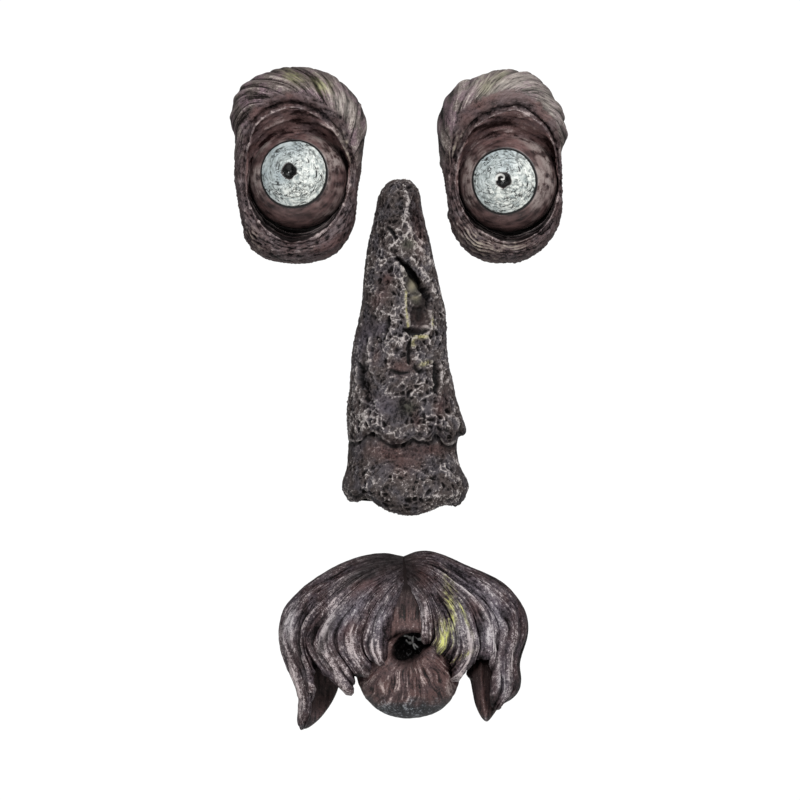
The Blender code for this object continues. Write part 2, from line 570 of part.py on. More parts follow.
def lips_rings(size):
    """Puckered lips as rings from the bottom of the mouth's hole out to behind the trunk."""
    angles = np.linspace(0, 2 * np.pi, MOUTH_COLUMNS, endpoint=False)
    lips, hole = LIPS_DIAMETER / MM / size[0], MOUTH_HOLE_WIDTH / MM / size[0]
    pit = LIPS_FRONT - MOUTH_HOLE_DEPTH / MM / size[2]
    rings = []
    for share, of_hole, of_lips, depth in LIPS_PROFILE:
        depth = pit if depth is None else depth
        distance = hole * of_hole + lips * of_lips
        middle = np.array(HOLE_MIDDLE) * (1 - share) + np.array(LIPS_MIDDLE) * share
        wrinkle = LIP_WRINKLE_DEPTH * np.cos(LIP_WRINKLES * angles)
        wrinkle *= smooth_step(15, 25, depth) * smooth_step(0, 0.2, share)
        x = middle[0] + (distance + wrinkle * 0.3) * np.cos(angles)
        z = middle[1] + (distance * 1.04 + wrinkle * 0.3) * np.sin(angles)
        rings.append(np.stack([x, -(depth + wrinkle), z], axis=1))
    return rings


def lock_rings(root_half, end_half, proud, line):
    """A tapering lock of hair that lies in the moustache: sections square to its line, arched
    above and deep below."""
    path = smooth_path(line, LOCK_STATIONS)
    along = np.gradient(path, axis=0)
    along /= np.linalg.norm(along, axis=1, keepdims=True)
    u = np.linspace(0, 1, LOCK_STATIONS)
    taper = (0.45 + 0.55 * smooth_step(0, 0.22, u)) * (0.4 + 0.6 * smooth_step(1.0, 0.8, u))
    half = (root_half + (end_half - root_half) * u) * taper
    sunk = (LOCK_THICKNESS - proud) * smooth_step(1.1, 0.7, u) + 1.2 * smooth_step(0.12, 0, u)
    depth = moustache_depth(path[:, 0], path[:, 1]) - sunk
    depth -= END_SINKS * smooth_step(END_SINKS_FROM, END_TIP, path[:, 1])
    arch = np.linspace(0, np.pi, LOCK_TOP_POINTS)
    aside = np.append(np.cos(arch), [-0.6, 0.6])
    rings = []
    for k in range(LOCK_STATIONS):
        side = half[k] * aside
        lift = np.append(LOCK_THICKNESS * taper[k] * np.sin(arch), [-LOCK_UNDERSIDE, -LOCK_UNDERSIDE])
        x = path[k, 0] - along[k, 1] * side
        z = path[k, 1] + along[k, 0] * side
        rings.append(np.stack([x, -(depth[k] + lift), z], axis=1))
    return rings


def mouth(collection, cutters, parts):
    """The mouth casting: moustache, its two ends, locks and lips, joined into one piece."""
    size = np.array([MOUTH_WIDTH, MOUTH_DEPTH, MOUTH_HEIGHT]) / MM
    size /= np.array([MOUTH_DRAWN[0], MOUTH_DRAWN[2], MOUTH_DRAWN[1]])
    place = np.array([MOUTH_AT[0], 0.0, MOUTH_AT[1]])

    def placed(rings):
        return [ring * size * MM + place for ring in rings]

    mantle = dome(MOUSTACHE_OUTLINE, MOUSTACHE_MIDDLE, MOUSTACHE_PROFILE, moustache_depth, BEHIND_TRUNK)
    made = loft("mouth", collection, placed(mantle))
    ends = (("left end", LEFT_END, LEFT_END_MIDDLE), ("right end", RIGHT_END, RIGHT_END_MIDDLE))
    for number, (name, outline, middle) in enumerate(ends):
        rings = dome(outline, middle, END_PROFILE, end_depth, BEHIND_TRUNK + 2 + number)
        as_guide(loft(name, parts, placed(rings)))
    as_guide(loft("lips", parts, placed(lips_rings(size))))
    for number, lock in enumerate(LOCKS):
        as_guide(loft(f"lock {number + 1}", parts, placed(lock_rings(*lock))))
    boolean(made, "UNION", parts)
    far = MOUTH_WIDTH + MOUTH_HEIGHT
    low = (MOUTH_AT[0] - far, 0.0, MOUTH_AT[1] - far)
    high = (MOUTH_AT[0] + far, far, MOUTH_AT[1] + far)
    boolean(made, "DIFFERENCE", box_cutter("trunk cutter", cutters, low, high))
    hanging_slot(made, cutters, MOUTH_AT, MOUTH_SLOT_RISE)
    return made


def new_collection(name):
    collection = bpy.data.collections.new(name)
    bpy.context.scene.collection.children.link(collection)
    return collection


def main():
    for old in list(bpy.data.objects):
        bpy.data.objects.remove(old, do_unlink=True)
    face = new_collection("tree face")
    cutters = new_collection("cutters")
    nose_cracks = new_collection("nose cracks")
    mouth_shapes = new_collection("mouth shapes")
    eye("left", face, cutters, LEFT_EYE_AT, LEFT_EYE_WIDTH, LEFT_EYE_HEIGHT)
    eye("right", face, cutters, RIGHT_EYE_AT, RIGHT_EYE_WIDTH, RIGHT_EYE_HEIGHT)
    nose(face, cutters, nose_cracks)
    mouth(face, cutters, mouth_shapes)


main()
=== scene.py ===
"""The tree face's looks: four painted resin castings that hang on a trunk, with their carving and paint.

Each casting's carving is drawn in millimetres and fitted to its node's box, in metres.
"""

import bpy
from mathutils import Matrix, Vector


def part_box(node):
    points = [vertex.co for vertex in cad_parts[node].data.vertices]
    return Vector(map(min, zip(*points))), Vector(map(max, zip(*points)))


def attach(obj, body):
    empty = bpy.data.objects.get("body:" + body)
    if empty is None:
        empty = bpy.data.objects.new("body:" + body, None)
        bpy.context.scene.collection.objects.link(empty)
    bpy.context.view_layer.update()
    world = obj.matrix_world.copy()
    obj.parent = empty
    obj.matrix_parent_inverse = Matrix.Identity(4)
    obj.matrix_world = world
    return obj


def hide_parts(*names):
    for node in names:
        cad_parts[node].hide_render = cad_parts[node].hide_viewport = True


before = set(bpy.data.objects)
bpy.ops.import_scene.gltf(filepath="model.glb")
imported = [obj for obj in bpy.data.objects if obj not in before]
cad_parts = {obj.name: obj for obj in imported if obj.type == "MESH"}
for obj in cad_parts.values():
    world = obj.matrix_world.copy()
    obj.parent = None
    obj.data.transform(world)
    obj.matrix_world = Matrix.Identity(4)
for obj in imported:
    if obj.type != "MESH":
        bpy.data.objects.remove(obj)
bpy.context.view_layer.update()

import bpy
import numpy as np
from mathutils import Vector

# The bodies of the two eyes: brow, lids, socket and pouch.
# Each is the thick outer part of a resin casting. Its brow is combed in locks away from the nose,
# and its back is flat, with a slot that goes over a screw head.

# Lengths are in millimetres round the middle of each eye's back. A spot is its place, its half sizes
# and its turn in degrees: red is reddish skin, creased is where folds run, nubs are small lumps,
# and pale and moss are paint on the hair.
EYES = {
    "left": {
        "node": "eye_left",
        "outline": [
            (-1, 51), (9.5, 49.5), (18.5, 45), (25.5, 38.5), (29.5, 32.5), (31, 25), (30.5, 17), (29, 8),
            (27.5, -2), (26.5, -12.5), (25.5, -20), (22.5, -27), (16.5, -34), (8.5, -37), (-1, -38),
            (-11, -37), (-18.5, -34), (-24, -28), (-26, -20), (-27.5, -11), (-29, -2), (-29.5, 5.5),
            (-29.5, 13.5), (-29.5, 19), (-31.5, 26), (-30.5, 33), (-28.5, 39), (-23.5, 44.5),
            (-16, 48), (-8.5, 50.5),
        ],
        "lid": [
            (-4, 32), (2.5, 31), (9.5, 27.5), (16, 22), (20.5, 15), (24, 7), (24, -2), (21.5, -11),
            (16, -20), (8.5, -26.5), (0.5, -29), (-6.5, -28.5), (-15.5, -23), (-22, -13.5),
            (-24.5, -2), (-24, 9), (-22, 18), (-18.5, 25), (-12, 29.5),
        ],
        "sweep": 44.0,
        "gaze": (-6.5, 6.5),
        "iris_angle": 41.8,
        "pupil_off": (-1.6, 0.5),
        "hairline": 0.34,
        "moss": [((-2.5, 46.0), (4.5, 2.4), -30), ((11.5, 41.5), (5.0, 2.6), -35)],
        "red": [
            ((-3.4, 35.5), (8.0, 3.0), 5), ((-18.0, 30.0), (5.0, 3.0), 40), ((14.0, -31.0), (8.0, 3.0), 30),
        ],
        "pale": [((21.0, 33.0), (8.0, 4.0), -55)],
        "creased": [((23.0, 13.0), (9.0, 3.0), -66), ((-22.0, -26.0), (8.0, 3.0), -50)],
        "glint": [],
        "nubs": [],
        "seed": 3,
    },
    "right": {
        "node": "eye_right",
        "outline": [
            (0, 51), (10, 49), (16.5, 44.5), (20, 40), (21.5, 37.5), (24.5, 33.5), (26, 27.5), (27, 20),
            (24.5, 14), (24.5, 7.5), (24.5, -3), (24.5, -12), (23, -19), (19.5, -25.5), (14.5, -31),
            (6.5, -35.5), (-1, -36.5), (-10.5, -35.5), (-17, -32.5), (-22.5, -27), (-26, -20),
            (-27, -13), (-28, -5.5), (-29.5, 3.5), (-31, 10.5), (-32, 16), (-32.5, 24), (-31.5, 32),
            (-28, 39), (-21.5, 45), (-12.5, 48), (-6, 50.5),
        ],
        "lid": [
            (1, 32), (5.5, 31.6), (11, 28.4), (16.5, 24.2), (20.5, 17), (22.5, 9), (23.5, -1), (22, -11),
            (18, -19), (11, -25), (2, -28), (-7, -26), (-16, -20), (-22, -11), (-24.5, -1),
            (-23.5, 9), (-20, 18), (-15.5, 24.4), (-8, 29.2),
        ],
        "sweep": -44.0,
        "gaze": (-6.3, -0.4),
        "iris_angle": 39.6,
        "pupil_off": (0.0, 0.5),
        "hairline": 0.46,
        "moss": [((-3.5, 47.6), (3.5, 2.4), 30), ((-10.0, 43.5), (4.0, 3.0), 60)],
        "red": [
            ((2.0, 38.5), (13.0, 3.6), 0), ((16.0, 31.0), (8.0, 3.6), -45), ((-16.0, 32.0), (9.0, 3.0), 40),
        ],
        "nubs": [((-31.0, 8.0), (0.8, 1.5), 0), ((-26.6, -15.0), (0.7, 1.9), 0)],
        "pale": [((0.0, 44.0), (18.0, 8.0), 0), ((20.0, 32.0), (9.0, 4.0), -60)],
        "creased": [
            ((-14.5, -28.0), (11.0, 4.0), -38), ((4.0, -29.5), (9.0, 2.0), 8),
            ((-25.0, 15.0), (8.0, 2.4), 62),
        ],
        "glint": [(-3.2, 0.2), (-3.0, 1.7), (-1.4, 2.6), (0.1, 1.8), (-0.1, 0.6), (-1.0, 0.4)],
        "seed": 8,
    },
}
EYE_COLUMNS = 460
EYE_ROWS = 170
EYE_BACK_ROWS = 7
EYE_SLOT = (0.0, 28.0)
BALL_RADIUS = 22.5
BALL_MIDDLE = 11.5
BROW_LOCKS = 26
SLOT_HALF = (4.0, 7.0)
SLOT_DEPTH = 9.0


def smooth_line(points, count, closed=False):
    """Points on a Catmull-Rom curve: each stretch is the cubic through its ends whose slopes are
    half the chord between the neighbours. count is for the whole line."""
    p = np.asarray(points, float)
    if closed:
        padded = np.concatenate([p[-1:], p, p[:2]])
        place = np.linspace(0, len(p), count, endpoint=False)
    else:
        padded = np.concatenate([2 * p[:1] - p[1:2], p, 2 * p[-1:] - p[-2:-1]])
        place = np.linspace(0, len(p) - 1, count)
    i = np.minimum(place.astype(int), len(padded) - 4)
    t = (place - i).reshape((-1,) + (1,) * (p.ndim - 1))
    before, start, end, after = (padded[i + k] for k in range(4))
    return 0.5 * (
        2 * start
        + (end - before) * t
        + (2 * before - 5 * start + 4 * end - after) * t**2
        + (3 * start - before - 3 * end + after) * t**3
    )


def reach(outline, angles):
    """How far a closed outline lies from its centre in each direction."""
    curve = smooth_line(outline, 24 * len(outline), closed=True)
    directions = np.arctan2(curve[:, 1], curve[:, 0])
    return np.interp(angles, directions, np.hypot(curve[:, 0], curve[:, 1]), period=2 * np.pi)


def rise(low, high, value):
    """0 below low, 1 above high, and an S-shaped rise between: t * t * (3 - 2 t)."""
    t = np.clip((value - low) / (high - low), 0, 1)
    return t * t * (3 - 2 * t)


def bell(offset, width):
    """1 where the offset is 0, falling off on both sides: e to the power of minus (offset / width)
    squared."""
    return np.exp(-((offset / width) ** 2))


def placed(x, y, z):
    """Places in space, from how far they lie along each of its three directions."""
    return np.stack(np.broadcast_arrays(x, y, z), axis=-1)


def spotted(x, z, spots):
    """1 in the middle of drawn spots and 0 away from them. A spot is its place, half sizes and turn."""
    return np.clip(sum(dab(x, z, *spot) for spot in spots), 0, 1)


def scatter(i, j, k, seed):
    """A number from 0 to 1 for each whole-numbered place, without pattern."""
    mixed = (
        i.astype(np.int64) * 73856093
        ^ j.astype(np.int64) * 19349663
        ^ k.astype(np.int64) * 83492791
        ^ np.int64(seed * 2654435761 % 4294967296)
    ) & 0xFFFFFFFF
    mixed = ((mixed ^ (mixed >> 16)) * 73244475) & 0xFFFFFFFF
    mixed = ((mixed ^ (mixed >> 16)) * 73244475) & 0xFFFFFFFF
    return ((mixed ^ (mixed >> 16)) & 0xFFFFFF) / 16777215.0


def ripple(points, seed=0):
    """Smooth noise from -1 to 1: random numbers at whole-numbered places, blended between."""
    p = np.asarray(points, float)
    cell = np.floor(p)
    t = p - cell
    t = t * t * (3 - 2 * t)
    i, j, k = (cell[..., axis].astype(np.int64) for axis in range(3))
    total = 0.0
    for di, dj, dk in np.ndindex(2, 2, 2):
        weight = np.abs(1 - di - t[..., 0]) * np.abs(1 - dj - t[..., 1]) * np.abs(1 - dk - t[..., 2])
        total = total + weight * scatter(i + di, j + dj, k + dk, seed)
    return 2 * total - 1


def ripples(points, layers, seed=0):
    """Layers of smooth noise, each half as strong and twice as fine as the one before."""
    return sum(ripple(np.asarray(points) * 2.0**n, seed + n) / 2.0**n for n in range(layers))


def flakes(points, seed=0):
    """Cells round random points, one to each unit cube: each place's distance to its nearest cell
    point, how much farther the next one is, and the nearest cell's own random number."""
    p = np.asarray(points, float)
    cell = np.floor(p).astype(np.int64)
    nearest = np.full(p.shape[:-1], 9.0)
    second = np.full(p.shape[:-1], 9.0)
    own = np.zeros(p.shape[:-1])
    for step in np.ndindex(3, 3, 3):
        i, j, k = (cell[..., axis] + step[axis] - 1 for axis in range(3))
        place = placed(*(n + scatter(i, j, k, seed + 11 * axis) for axis, n in enumerate((i, j, k))))
        distance = np.linalg.norm(place - p, axis=-1)
        closer = distance < nearest
        second = np.where(closer, nearest, np.minimum(second, distance))
        own = np.where(closer, scatter(i, j, k, seed + 77), own)
        nearest = np.where(closer, distance, nearest)
    return nearest, second - nearest, own


def grid_normals(grid, closed):
    """The unit normals of a grid of points, from the cross product of its two directions."""
    if closed:
        across = np.roll(grid, -1, axis=1) - np.roll(grid, 1, axis=1)
    else:
        across = np.gradient(grid, axis=1)
    normals = np.cross(np.gradient(grid, axis=0), across)
    return normals / np.maximum(np.linalg.norm(normals, axis=-1, keepdims=True), 1e-9)


def slot_ring(middle, border):
    """The slot's rim, a rectangle with its corners, where lines from its middle to each point of
    the border cross it."""
    out = border - middle
    share = np.max(np.abs(out) / np.array(SLOT_HALF), axis=-1, keepdims=True)
    return middle + out / share


def back_rows(border, middle, rows):
    """The flat back: rings that shrink from its border to the slot, then the slot's wall and bottom.
    border holds x and z, and so does middle."""
    rim = slot_ring(middle, border)
    rings = []
    for share in np.linspace(0, 1, rows):
        ring = border + (rim - border) * share
        rings.append(np.stack([ring[:, 0], np.zeros(len(ring)), ring[:, 1]], axis=1))
    for share, depth in ((1.0, 0.5), (1.0, 1.0), (0.5, 1.0)):
        ring = middle + (rim - middle) * share
        rings.append(np.stack([ring[:, 0], np.full(len(ring), -SLOT_DEPTH * depth), ring[:, 1]], axis=1))
    return rings


def surface(name, vertices, quads, triangles, measures):
    """A smooth mesh object whose faces point out, with a named value for each of its points."""
    corners = np.concatenate([quads.ravel(), triangles.ravel()]).astype(np.int32)
    sizes = np.concatenate([np.full(len(quads), 4), np.full(len(triangles), 3)])
    starts = np.concatenate([[0], np.cumsum(sizes)[:-1]]).astype(np.int32)
    thirds = np.concatenate([quads[:, [0, 1, 2]], quads[:, [0, 2, 3]], triangles]).astype(int)
    a, b, c = (vertices[thirds[:, k]] for k in range(3))
    if np.einsum("ij,ij->i", a, np.cross(b, c)).sum() < 0:
        flipped = [quads[:, ::-1].ravel(), triangles[:, ::-1].ravel()]
        corners = np.concatenate(flipped).astype(np.int32)
    mesh = bpy.data.meshes.new(name)
    mesh.vertices.add(len(vertices))
    mesh.vertices.foreach_set("co", vertices.astype(np.float32).ravel())
    mesh.loops.add(len(corners))
    mesh.loops.foreach_set("vertex_index", corners)
    mesh.polygons.add(len(sizes))
    mesh.polygons.foreach_set("loop_start", starts)
    mesh.update(calc_edges=True)
    mesh.shade_smooth()
    for title, values in measures.items():
        attribute = mesh.attributes.new(title, "FLOAT", "POINT")
        attribute.data.foreach_set("value", np.asarray(values, np.float32).ravel())
    made = bpy.data.objects.new(name, mesh)
    bpy.context.scene.collection.objects.link(made)
    return made


def ringed(name, rings, measures):
    """A closed surface through rings of equally many points, with a point that closes each end.
    A measure has one number for each ring point."""
    rows, columns = rings.shape[:2]
    number = np.arange(rows * columns).reshape(rows, columns)
    after = np.roll(number, -1, axis=1)
    quads = np.stack([number[:-1], after[:-1], after[1:], number[1:]], axis=-1).reshape(-1, 4)
    first, last = rows * columns, rows * columns + 1
    start = np.stack([after[0], number[0], np.full(columns, first)], axis=-1)
    end = np.stack([number[-1], after[-1], np.full(columns, last)], axis=-1)
    vertices = np.concatenate([rings.reshape(-1, 3), [rings[0].mean(axis=0)], [rings[-1].mean(axis=0)]])
    closed = {
        title: np.concatenate([values.ravel(), [values[0].mean()], [values[-1].mean()]])
        for title, values in measures.items()
    }
    return surface(name, vertices, quads, np.concatenate([start, end]), closed)


def fit(points, node):
    """The stretch and shift that take drawn millimetres to the node's box in metres."""
    low, high = (np.array(corner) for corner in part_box(node))
    flat = points.reshape(-1, 3)
    stretch = (high - low) / (flat.max(axis=0) - flat.min(axis=0))
    return stretch, low - flat.min(axis=0) * stretch


def dab(x, z, at, size, turn=0.0):
    """A soft oval spot: 1 in its middle, falling as exp(-(along/a)^2 - (across/b)^2)."""
    c, s = np.cos(np.radians(turn)), np.sin(np.radians(turn))
    along, across = (x - at[0]) * c + (z - at[1]) * s, (z - at[1]) * c - (x - at[0]) * s
    return np.exp(-((along / size[0]) ** 2) - (across / size[1]) ** 2)


def eye_body(side):
    """The rings of an eye's body and what the paint needs to know of them. Each column of points
    runs from below the eyeball, up the socket's wall, over the lid, out along the hair and round
    to the flat back. Relief is added square to that surface."""
    eye = EYES[side]
    even = np.linspace(0, 2 * np.pi, EYE_COLUMNS, endpoint=False)
    still = even + 0.35 * np.cos(even)

    def swept(share):
        """The columns' angles at a share of the way out, turned with the sweep of the brow."""
        return still + np.radians(eye["sweep"]) * share * (0.5 + 0.5 * np.sin(still))

    up = np.clip(np.sin(still), 0, 1)
    down = np.clip(-np.sin(still), 0, 1)
    cover = np.radians(90 - 33 * up**1.5)
    ball = BALL_RADIUS * np.sin(cover)
    lid = reach(eye["lid"], still)
    lid_depth = 18.5 + 14.5 * up**1.5 + 4.0 * down**1.5
    floor = np.minimum(BALL_MIDDLE + BALL_RADIUS * np.cos(cover) - 1.0, 9.0 + 12.0 * up**1.5)
    gap, beyond = lid - ball, reach(eye["outline"], still) - lid
    controls = [
        (ball * 0.55, floor - 3.0), (ball * 0.8, floor - 1.2), (ball + gap * 0.05, floor),
        (ball + gap * 0.28, floor + 0.2),
        (ball + gap * 0.52, floor + (lid_depth - floor) * (0.3 - 0.22 * down)),
        (ball + gap * 0.75, floor + (lid_depth - floor) * (0.68 - 0.3 * down)),
        (lid - 1.1, floor + (lid_depth - floor) * (0.93 - 0.12 * down)), (lid - 0.3, lid_depth - 0.1),
        (lid + np.minimum(0.4, 0.03 * beyond), lid_depth - 0.3),
        (lid + np.minimum(1.2, 0.07 * beyond), lid_depth - 0.9 - 0.8 * up),
        (lid + np.minimum(2.3, 0.13 * beyond), lid_depth - 0.9 - 1.4 * up),
    ]
    heights = [-3, -2, -1, -0.8, -0.6, -0.4, -0.2, 0.0, 0.03, 0.06, 0.1]
    rows = [(distance, depth, still, height) for (distance, depth), height in zip(controls, heights)]
    for share, fullness in (
        (0.17, 0.965), (0.32, 1.0), (0.45, 1.0), (0.58, 0.965), (0.7, 0.9), (0.8, 0.81), (0.89, 0.69),
        (0.96, 0.54), (1.0, 0.34), (0.995, 0.16), (0.97, 0.0),
    ):
        angles = swept(share)
        edge, outline = reach(eye["lid"], angles), reach(eye["outline"], angles)
        top, low = np.clip(np.sin(angles), 0, 1), np.clip(-np.sin(angles), 0, 1)
        depth = (17.5 + 17.5 * top**1.5 + 6.0 * low**1.5) * fullness
        rows.append((edge + (outline - edge) * share, depth, angles, share))
    distance, depth, angles = (
        smooth_line([row[k] + np.zeros(EYE_COLUMNS) for row in rows], EYE_ROWS) for k in range(3)
    )
    height = np.repeat(smooth_line([[row[3]] for row in rows], EYE_ROWS), EYE_COLUMNS, axis=1)
    rings = placed(distance * np.cos(angles), -np.maximum(depth, 0), distance * np.sin(angles))
    return rings, height, angles, even


def eye_relief(side, rings, height, angles, even):
    """How far each point of an eye's body is carved in or out, in millimetres, and its paint."""
    eye = EYES[side]
    seed = eye["seed"]
    x, z = rings[..., 0], rings[..., 2]
    top, low = np.clip(np.sin(angles), 0, 1), np.clip(-np.sin(angles), 0, 1)
    ragged = 0.07 * ripple(rings / 3.0, seed) + 0.05 * ripple(rings / 1.3, seed + 1)
    hair = rise(eye["hairline"] - 0.07, eye["hairline"] + 0.07, height + ragged)
    hair = hair * rise(0.12, 0.45, np.sin(angles))
    # Hair: locks parted by narrow grooves, each of finer strands.
    sway = 0.45 * ripples(placed(even * 2.4, 1.3 * height, 0), 2, seed)
    lock = BROW_LOCKS * even / (2 * np.pi) + sway
    within = np.abs(2 * (lock % 1) - 1)
    own = ripple(placed(np.round(lock) * 5.3, height * 1.5, 0), seed + 3)
    strand = ripple(placed(lock * 2.6, height * 2.2, 0), seed + 4)
    thread = ripple(placed(lock * 6.0, height * 4.0, 0), seed + 5)
    combed = -0.9 * within**7 * (0.7 + 0.5 * own) + 0.24 * own + 0.42 * strand + 0.25 * thread
    # Skin: wrinkles that follow the lids, rows of dashes between them, creases and grain.
    along = placed(np.cos(angles), np.sin(angles), 0) * 3.0
    beyond = np.hypot(x, z) + 0.9 * np.maximum(14.0 + rings[..., 1], 0)
    folds = ripples(along + placed(0, 0, beyond / 1.5), 3, seed + 9)
    outside, inside = rise(0.04, 0.12, height), rise(0.02, -0.1, height)
    wander = 1.3 * ripple(along * 0.9 + placed(0, 0, height * 1.5), seed + 7)
    wander += 0.5 * ripple(along * 2.6 + placed(0, 0, height * 4.0), seed + 6)
    wrinkle = np.cos(2 * np.pi * (height * (4 + 3 * low) + wander)) * outside * rise(1.0, 0.8, height)
    fading = ripple(along * 2.2 + placed(0, 0, beyond / 4.0), seed + 2)
    wrinkle *= 0.25 + 0.75 * rise(-0.5, 0.5, fading)
    creased = spotted(x, z, eye["creased"])
    arch = spotted(x, z, eye["red"])
    blot = ripple(along * 3.6 + placed(0, 0, beyond / 0.85), seed + 8)
    blot += 0.6 * ripple(along * 8.0 + placed(0, 0, beyond / 0.5), seed + 18)
    dash = rise(0.2, 0.7, blot) * outside * (0.3 + 0.7 * low) * (1 - 0.6 * creased)
    crease = ripple(along * 1.5 + placed(0, 0, beyond / 0.75), seed + 12)
    near, _, pick = flakes(rings / 1.5 + 0.4 * ripple(rings / 3.0, seed)[..., None], seed + 20)
    speck = (1 - rise(0.12, 0.42, near)) * (pick > 0.6) * outside
    skin = (0.35 + 0.3 * inside) * folds + (0.12 + 0.3 * creased) * wrinkle - 0.55 * dash
    skin += 0.46 * ripples(rings / 1.5, 3, seed + 30) * (1 - 0.5 * inside)
    skin -= 0.3 * rise(0.2, 0.7, crease) * outside
    skin -= 0.4 * speck * (0.3 + 0.7 * low + 0.4 * (1 - top))
    skin *= 1 - 0.55 * arch * outside
    crest = bell(height, 0.028)
    second = bell(height + 0.73 + 0.04 * np.cos(angles * 3), 0.025)
    second = second + 0.6 * bell(height + 0.54 + 0.03 * np.cos(angles * 4), 0.03)
    second = second * rise(0.1, 0.5, low)
    skin += 0.3 * crest + 0.7 * second
    nubs = sum(dab(x, z, *spot) for spot in eye["nubs"])
    relief = combed * hair + skin * (1 - hair) + 1.1 * np.clip(nubs, 0, 1)
    relief = relief * rise(0, 3, -rings[..., 1]) * rise(-1.2, -0.9, height)
    raised = 0.42 + 0.42 * relief + 0.12 * (strand + thread) * hair + 0.12 * folds * inside
    raised += (0.2 * crest * (0.7 + 0.3 * top) + 0.3 * second + 0.2 * creased * wrinkle) * (1 - hair)
    groove = np.clip(within**9 * 0.9 + 0.55 * rise(0.3, 0.75, -strand - 0.4 * thread), 0, 1) * hair
    # Painted shade: black in the fold just outside the upper lid's crest and on the lower lid's inner wall,
    # where shade falls.
    shade_fold = 0.34 * bell(height - 0.085, 0.03) * rise(0.1, 0.6, top)
    shade_fold += 0.9 * inside * rise(0.15, 0.55, low) * np.clip(1 - second, 0, 1)
    worn = 0.8 * speck * (0.4 + 0.6 * low)
    pit = np.clip(groove * 0.62 + (0.8 * dash + worn + shade_fold) * (1 - hair) + nubs, 0, 1)
    moss = sum(dab(x, z, *spot) for spot in eye["moss"])
    # Reddish skin, and painted light: the socket's inner wall, most towards its top, takes the lighter
    # reddish paint, as if lit under the lid.
    red = np.clip(0.9 * inside * rise(-0.5, 0.3, np.sin(angles)) + arch * (1 - hair), 0, 1)
    return relief, {
        "hair": hair, "raised": np.clip(raised, 0, 1), "pit": pit,
        "across": lock, "along": height * 4, "red": red,
        "pale": spotted(x, z, eye["pale"]), "moss": moss * hair, "creased": creased * (1 - hair),
    }


def tone(red, green, blue):
    """A paint's colour from its display values of 0 to 255, as a shader counts it."""
    shown = np.array([red, green, blue]) / 255
    return (*np.where(shown > 0.04045, ((shown + 0.055) / 1.055) ** 2.4, shown / 12.92), 1.0)


def painted(name):
    """A new paint, with its node tree and its shader."""
    material = bpy.data.materials.new(name)
    material.use_nodes = True
    return material, material.node_tree, material.node_tree.nodes["Principled BSDF"]


def put(tree, source, socket):
    """A link where the source is a socket, and a plain value where it isn't."""
    if isinstance(source, bpy.types.NodeSocket):
        tree.links.new(source, socket)
    else:
        socket.default_value = source


def measured(tree, title):
    """The value that a casting's points carry under this title."""
    node = tree.nodes.new("ShaderNodeAttribute")
    node.attribute_name = title
    return node.outputs["Fac"]


def reckoned(tree, operation, *values, clamp=False):
    """What a Math node makes of sockets or plain numbers."""
    node = tree.nodes.new("ShaderNodeMath")
    node.operation = operation
    node.use_clamp = clamp
    for value, socket in zip(values, node.inputs):
        put(tree, value, socket)
    return node.outputs[0]


def scaled(tree, value, scale, offset):
    """value * scale + offset."""
    return reckoned(tree, "MULTIPLY_ADD", value, scale, offset)


def clamped(tree, value, scale, offset):
    """value * scale + offset, kept from 0 to 1."""
    return reckoned(tree, "MULTIPLY_ADD", value, scale, offset, clamp=True)


def added(tree, value, other, scale, offset):
    """value + other * scale + offset."""
    return reckoned(tree, "ADD", value, scaled(tree, other, scale, offset))


def multiplied(tree, value, other):
    """value * other."""
    return reckoned(tree, "MULTIPLY", value, other)


def blend(tree, share, first, second):
    """A colour between two colours."""
    node = tree.nodes.new("ShaderNodeMix")
    node.data_type = "RGBA"
    first_socket, second_socket = (socket for socket in node.inputs if socket.type == "RGBA")
    put(tree, share, node.inputs["Factor"])
    put(tree, first, first_socket)
    put(tree, second, second_socket)
    return next(socket for socket in node.outputs if socket.type == "RGBA")


def coated(tree, colour, *coats):
    """A colour under coats of others, in order: each coat is how much it covers, and its colour."""
    for share, cover in coats:
        colour = blend(tree, share, colour, cover)
    return colour


def blend_number(tree, share, first, second):
    """A number between two numbers."""
    node = tree.nodes.new("ShaderNodeMapRange")
    tree.links.new(share, node.inputs["Value"])
    node.inputs["To Min"].default_value = first
    node.inputs["To Max"].default_value = second
    return node.outputs["Result"]


def stepped(tree, value, low, high):
    """0 at low and 1 at high, with an S-shaped rise between."""
    node = tree.nodes.new("ShaderNodeMapRange")
    node.interpolation_type = "SMOOTHSTEP"
    put(tree, value, node.inputs["Value"])
    put(tree, low, node.inputs["From Min"])
    put(tree, high, node.inputs["From Max"])
    return node.outputs["Result"]


def noise(tree, place, scale, detail, roughness=0.5, distortion=0.0):
    """A noise node read at a place."""
    node = tree.nodes.new("ShaderNodeTexNoise")
    put(tree, place, node.inputs["Vector"])
    put(tree, scale, node.inputs["Scale"])
    put(tree, detail, node.inputs["Detail"])
    put(tree, roughness, node.inputs["Roughness"])
    put(tree, distortion, node.inputs["Distortion"])
    return node


def new_group(name, inputs, outputs):
    """A new shader group with named inputs and outputs, and its sockets on the inside."""
    group = bpy.data.node_groups.new(name, "ShaderNodeTree")
    for title, value in inputs:
        kind = "NodeSocketColor" if isinstance(value, tuple) else "NodeSocketFloat"
        group.interface.new_socket(name=title, in_out="INPUT", socket_type=kind).default_value = value
    for title, kind in outputs:
        group.interface.new_socket(name=title, in_out="OUTPUT", socket_type=kind)
    return group, group.nodes.new("NodeGroupInput").outputs, group.nodes.new("NodeGroupOutput").inputs


def grouped(tree, group, values):
    """A shader group placed in a tree, with what its named inputs get. Gives its outputs."""
    node = tree.nodes.new("ShaderNodeGroup")
    node.node_tree = group
    for title, value in values.items():
        put(tree, value, node.inputs[title])
    return node.outputs


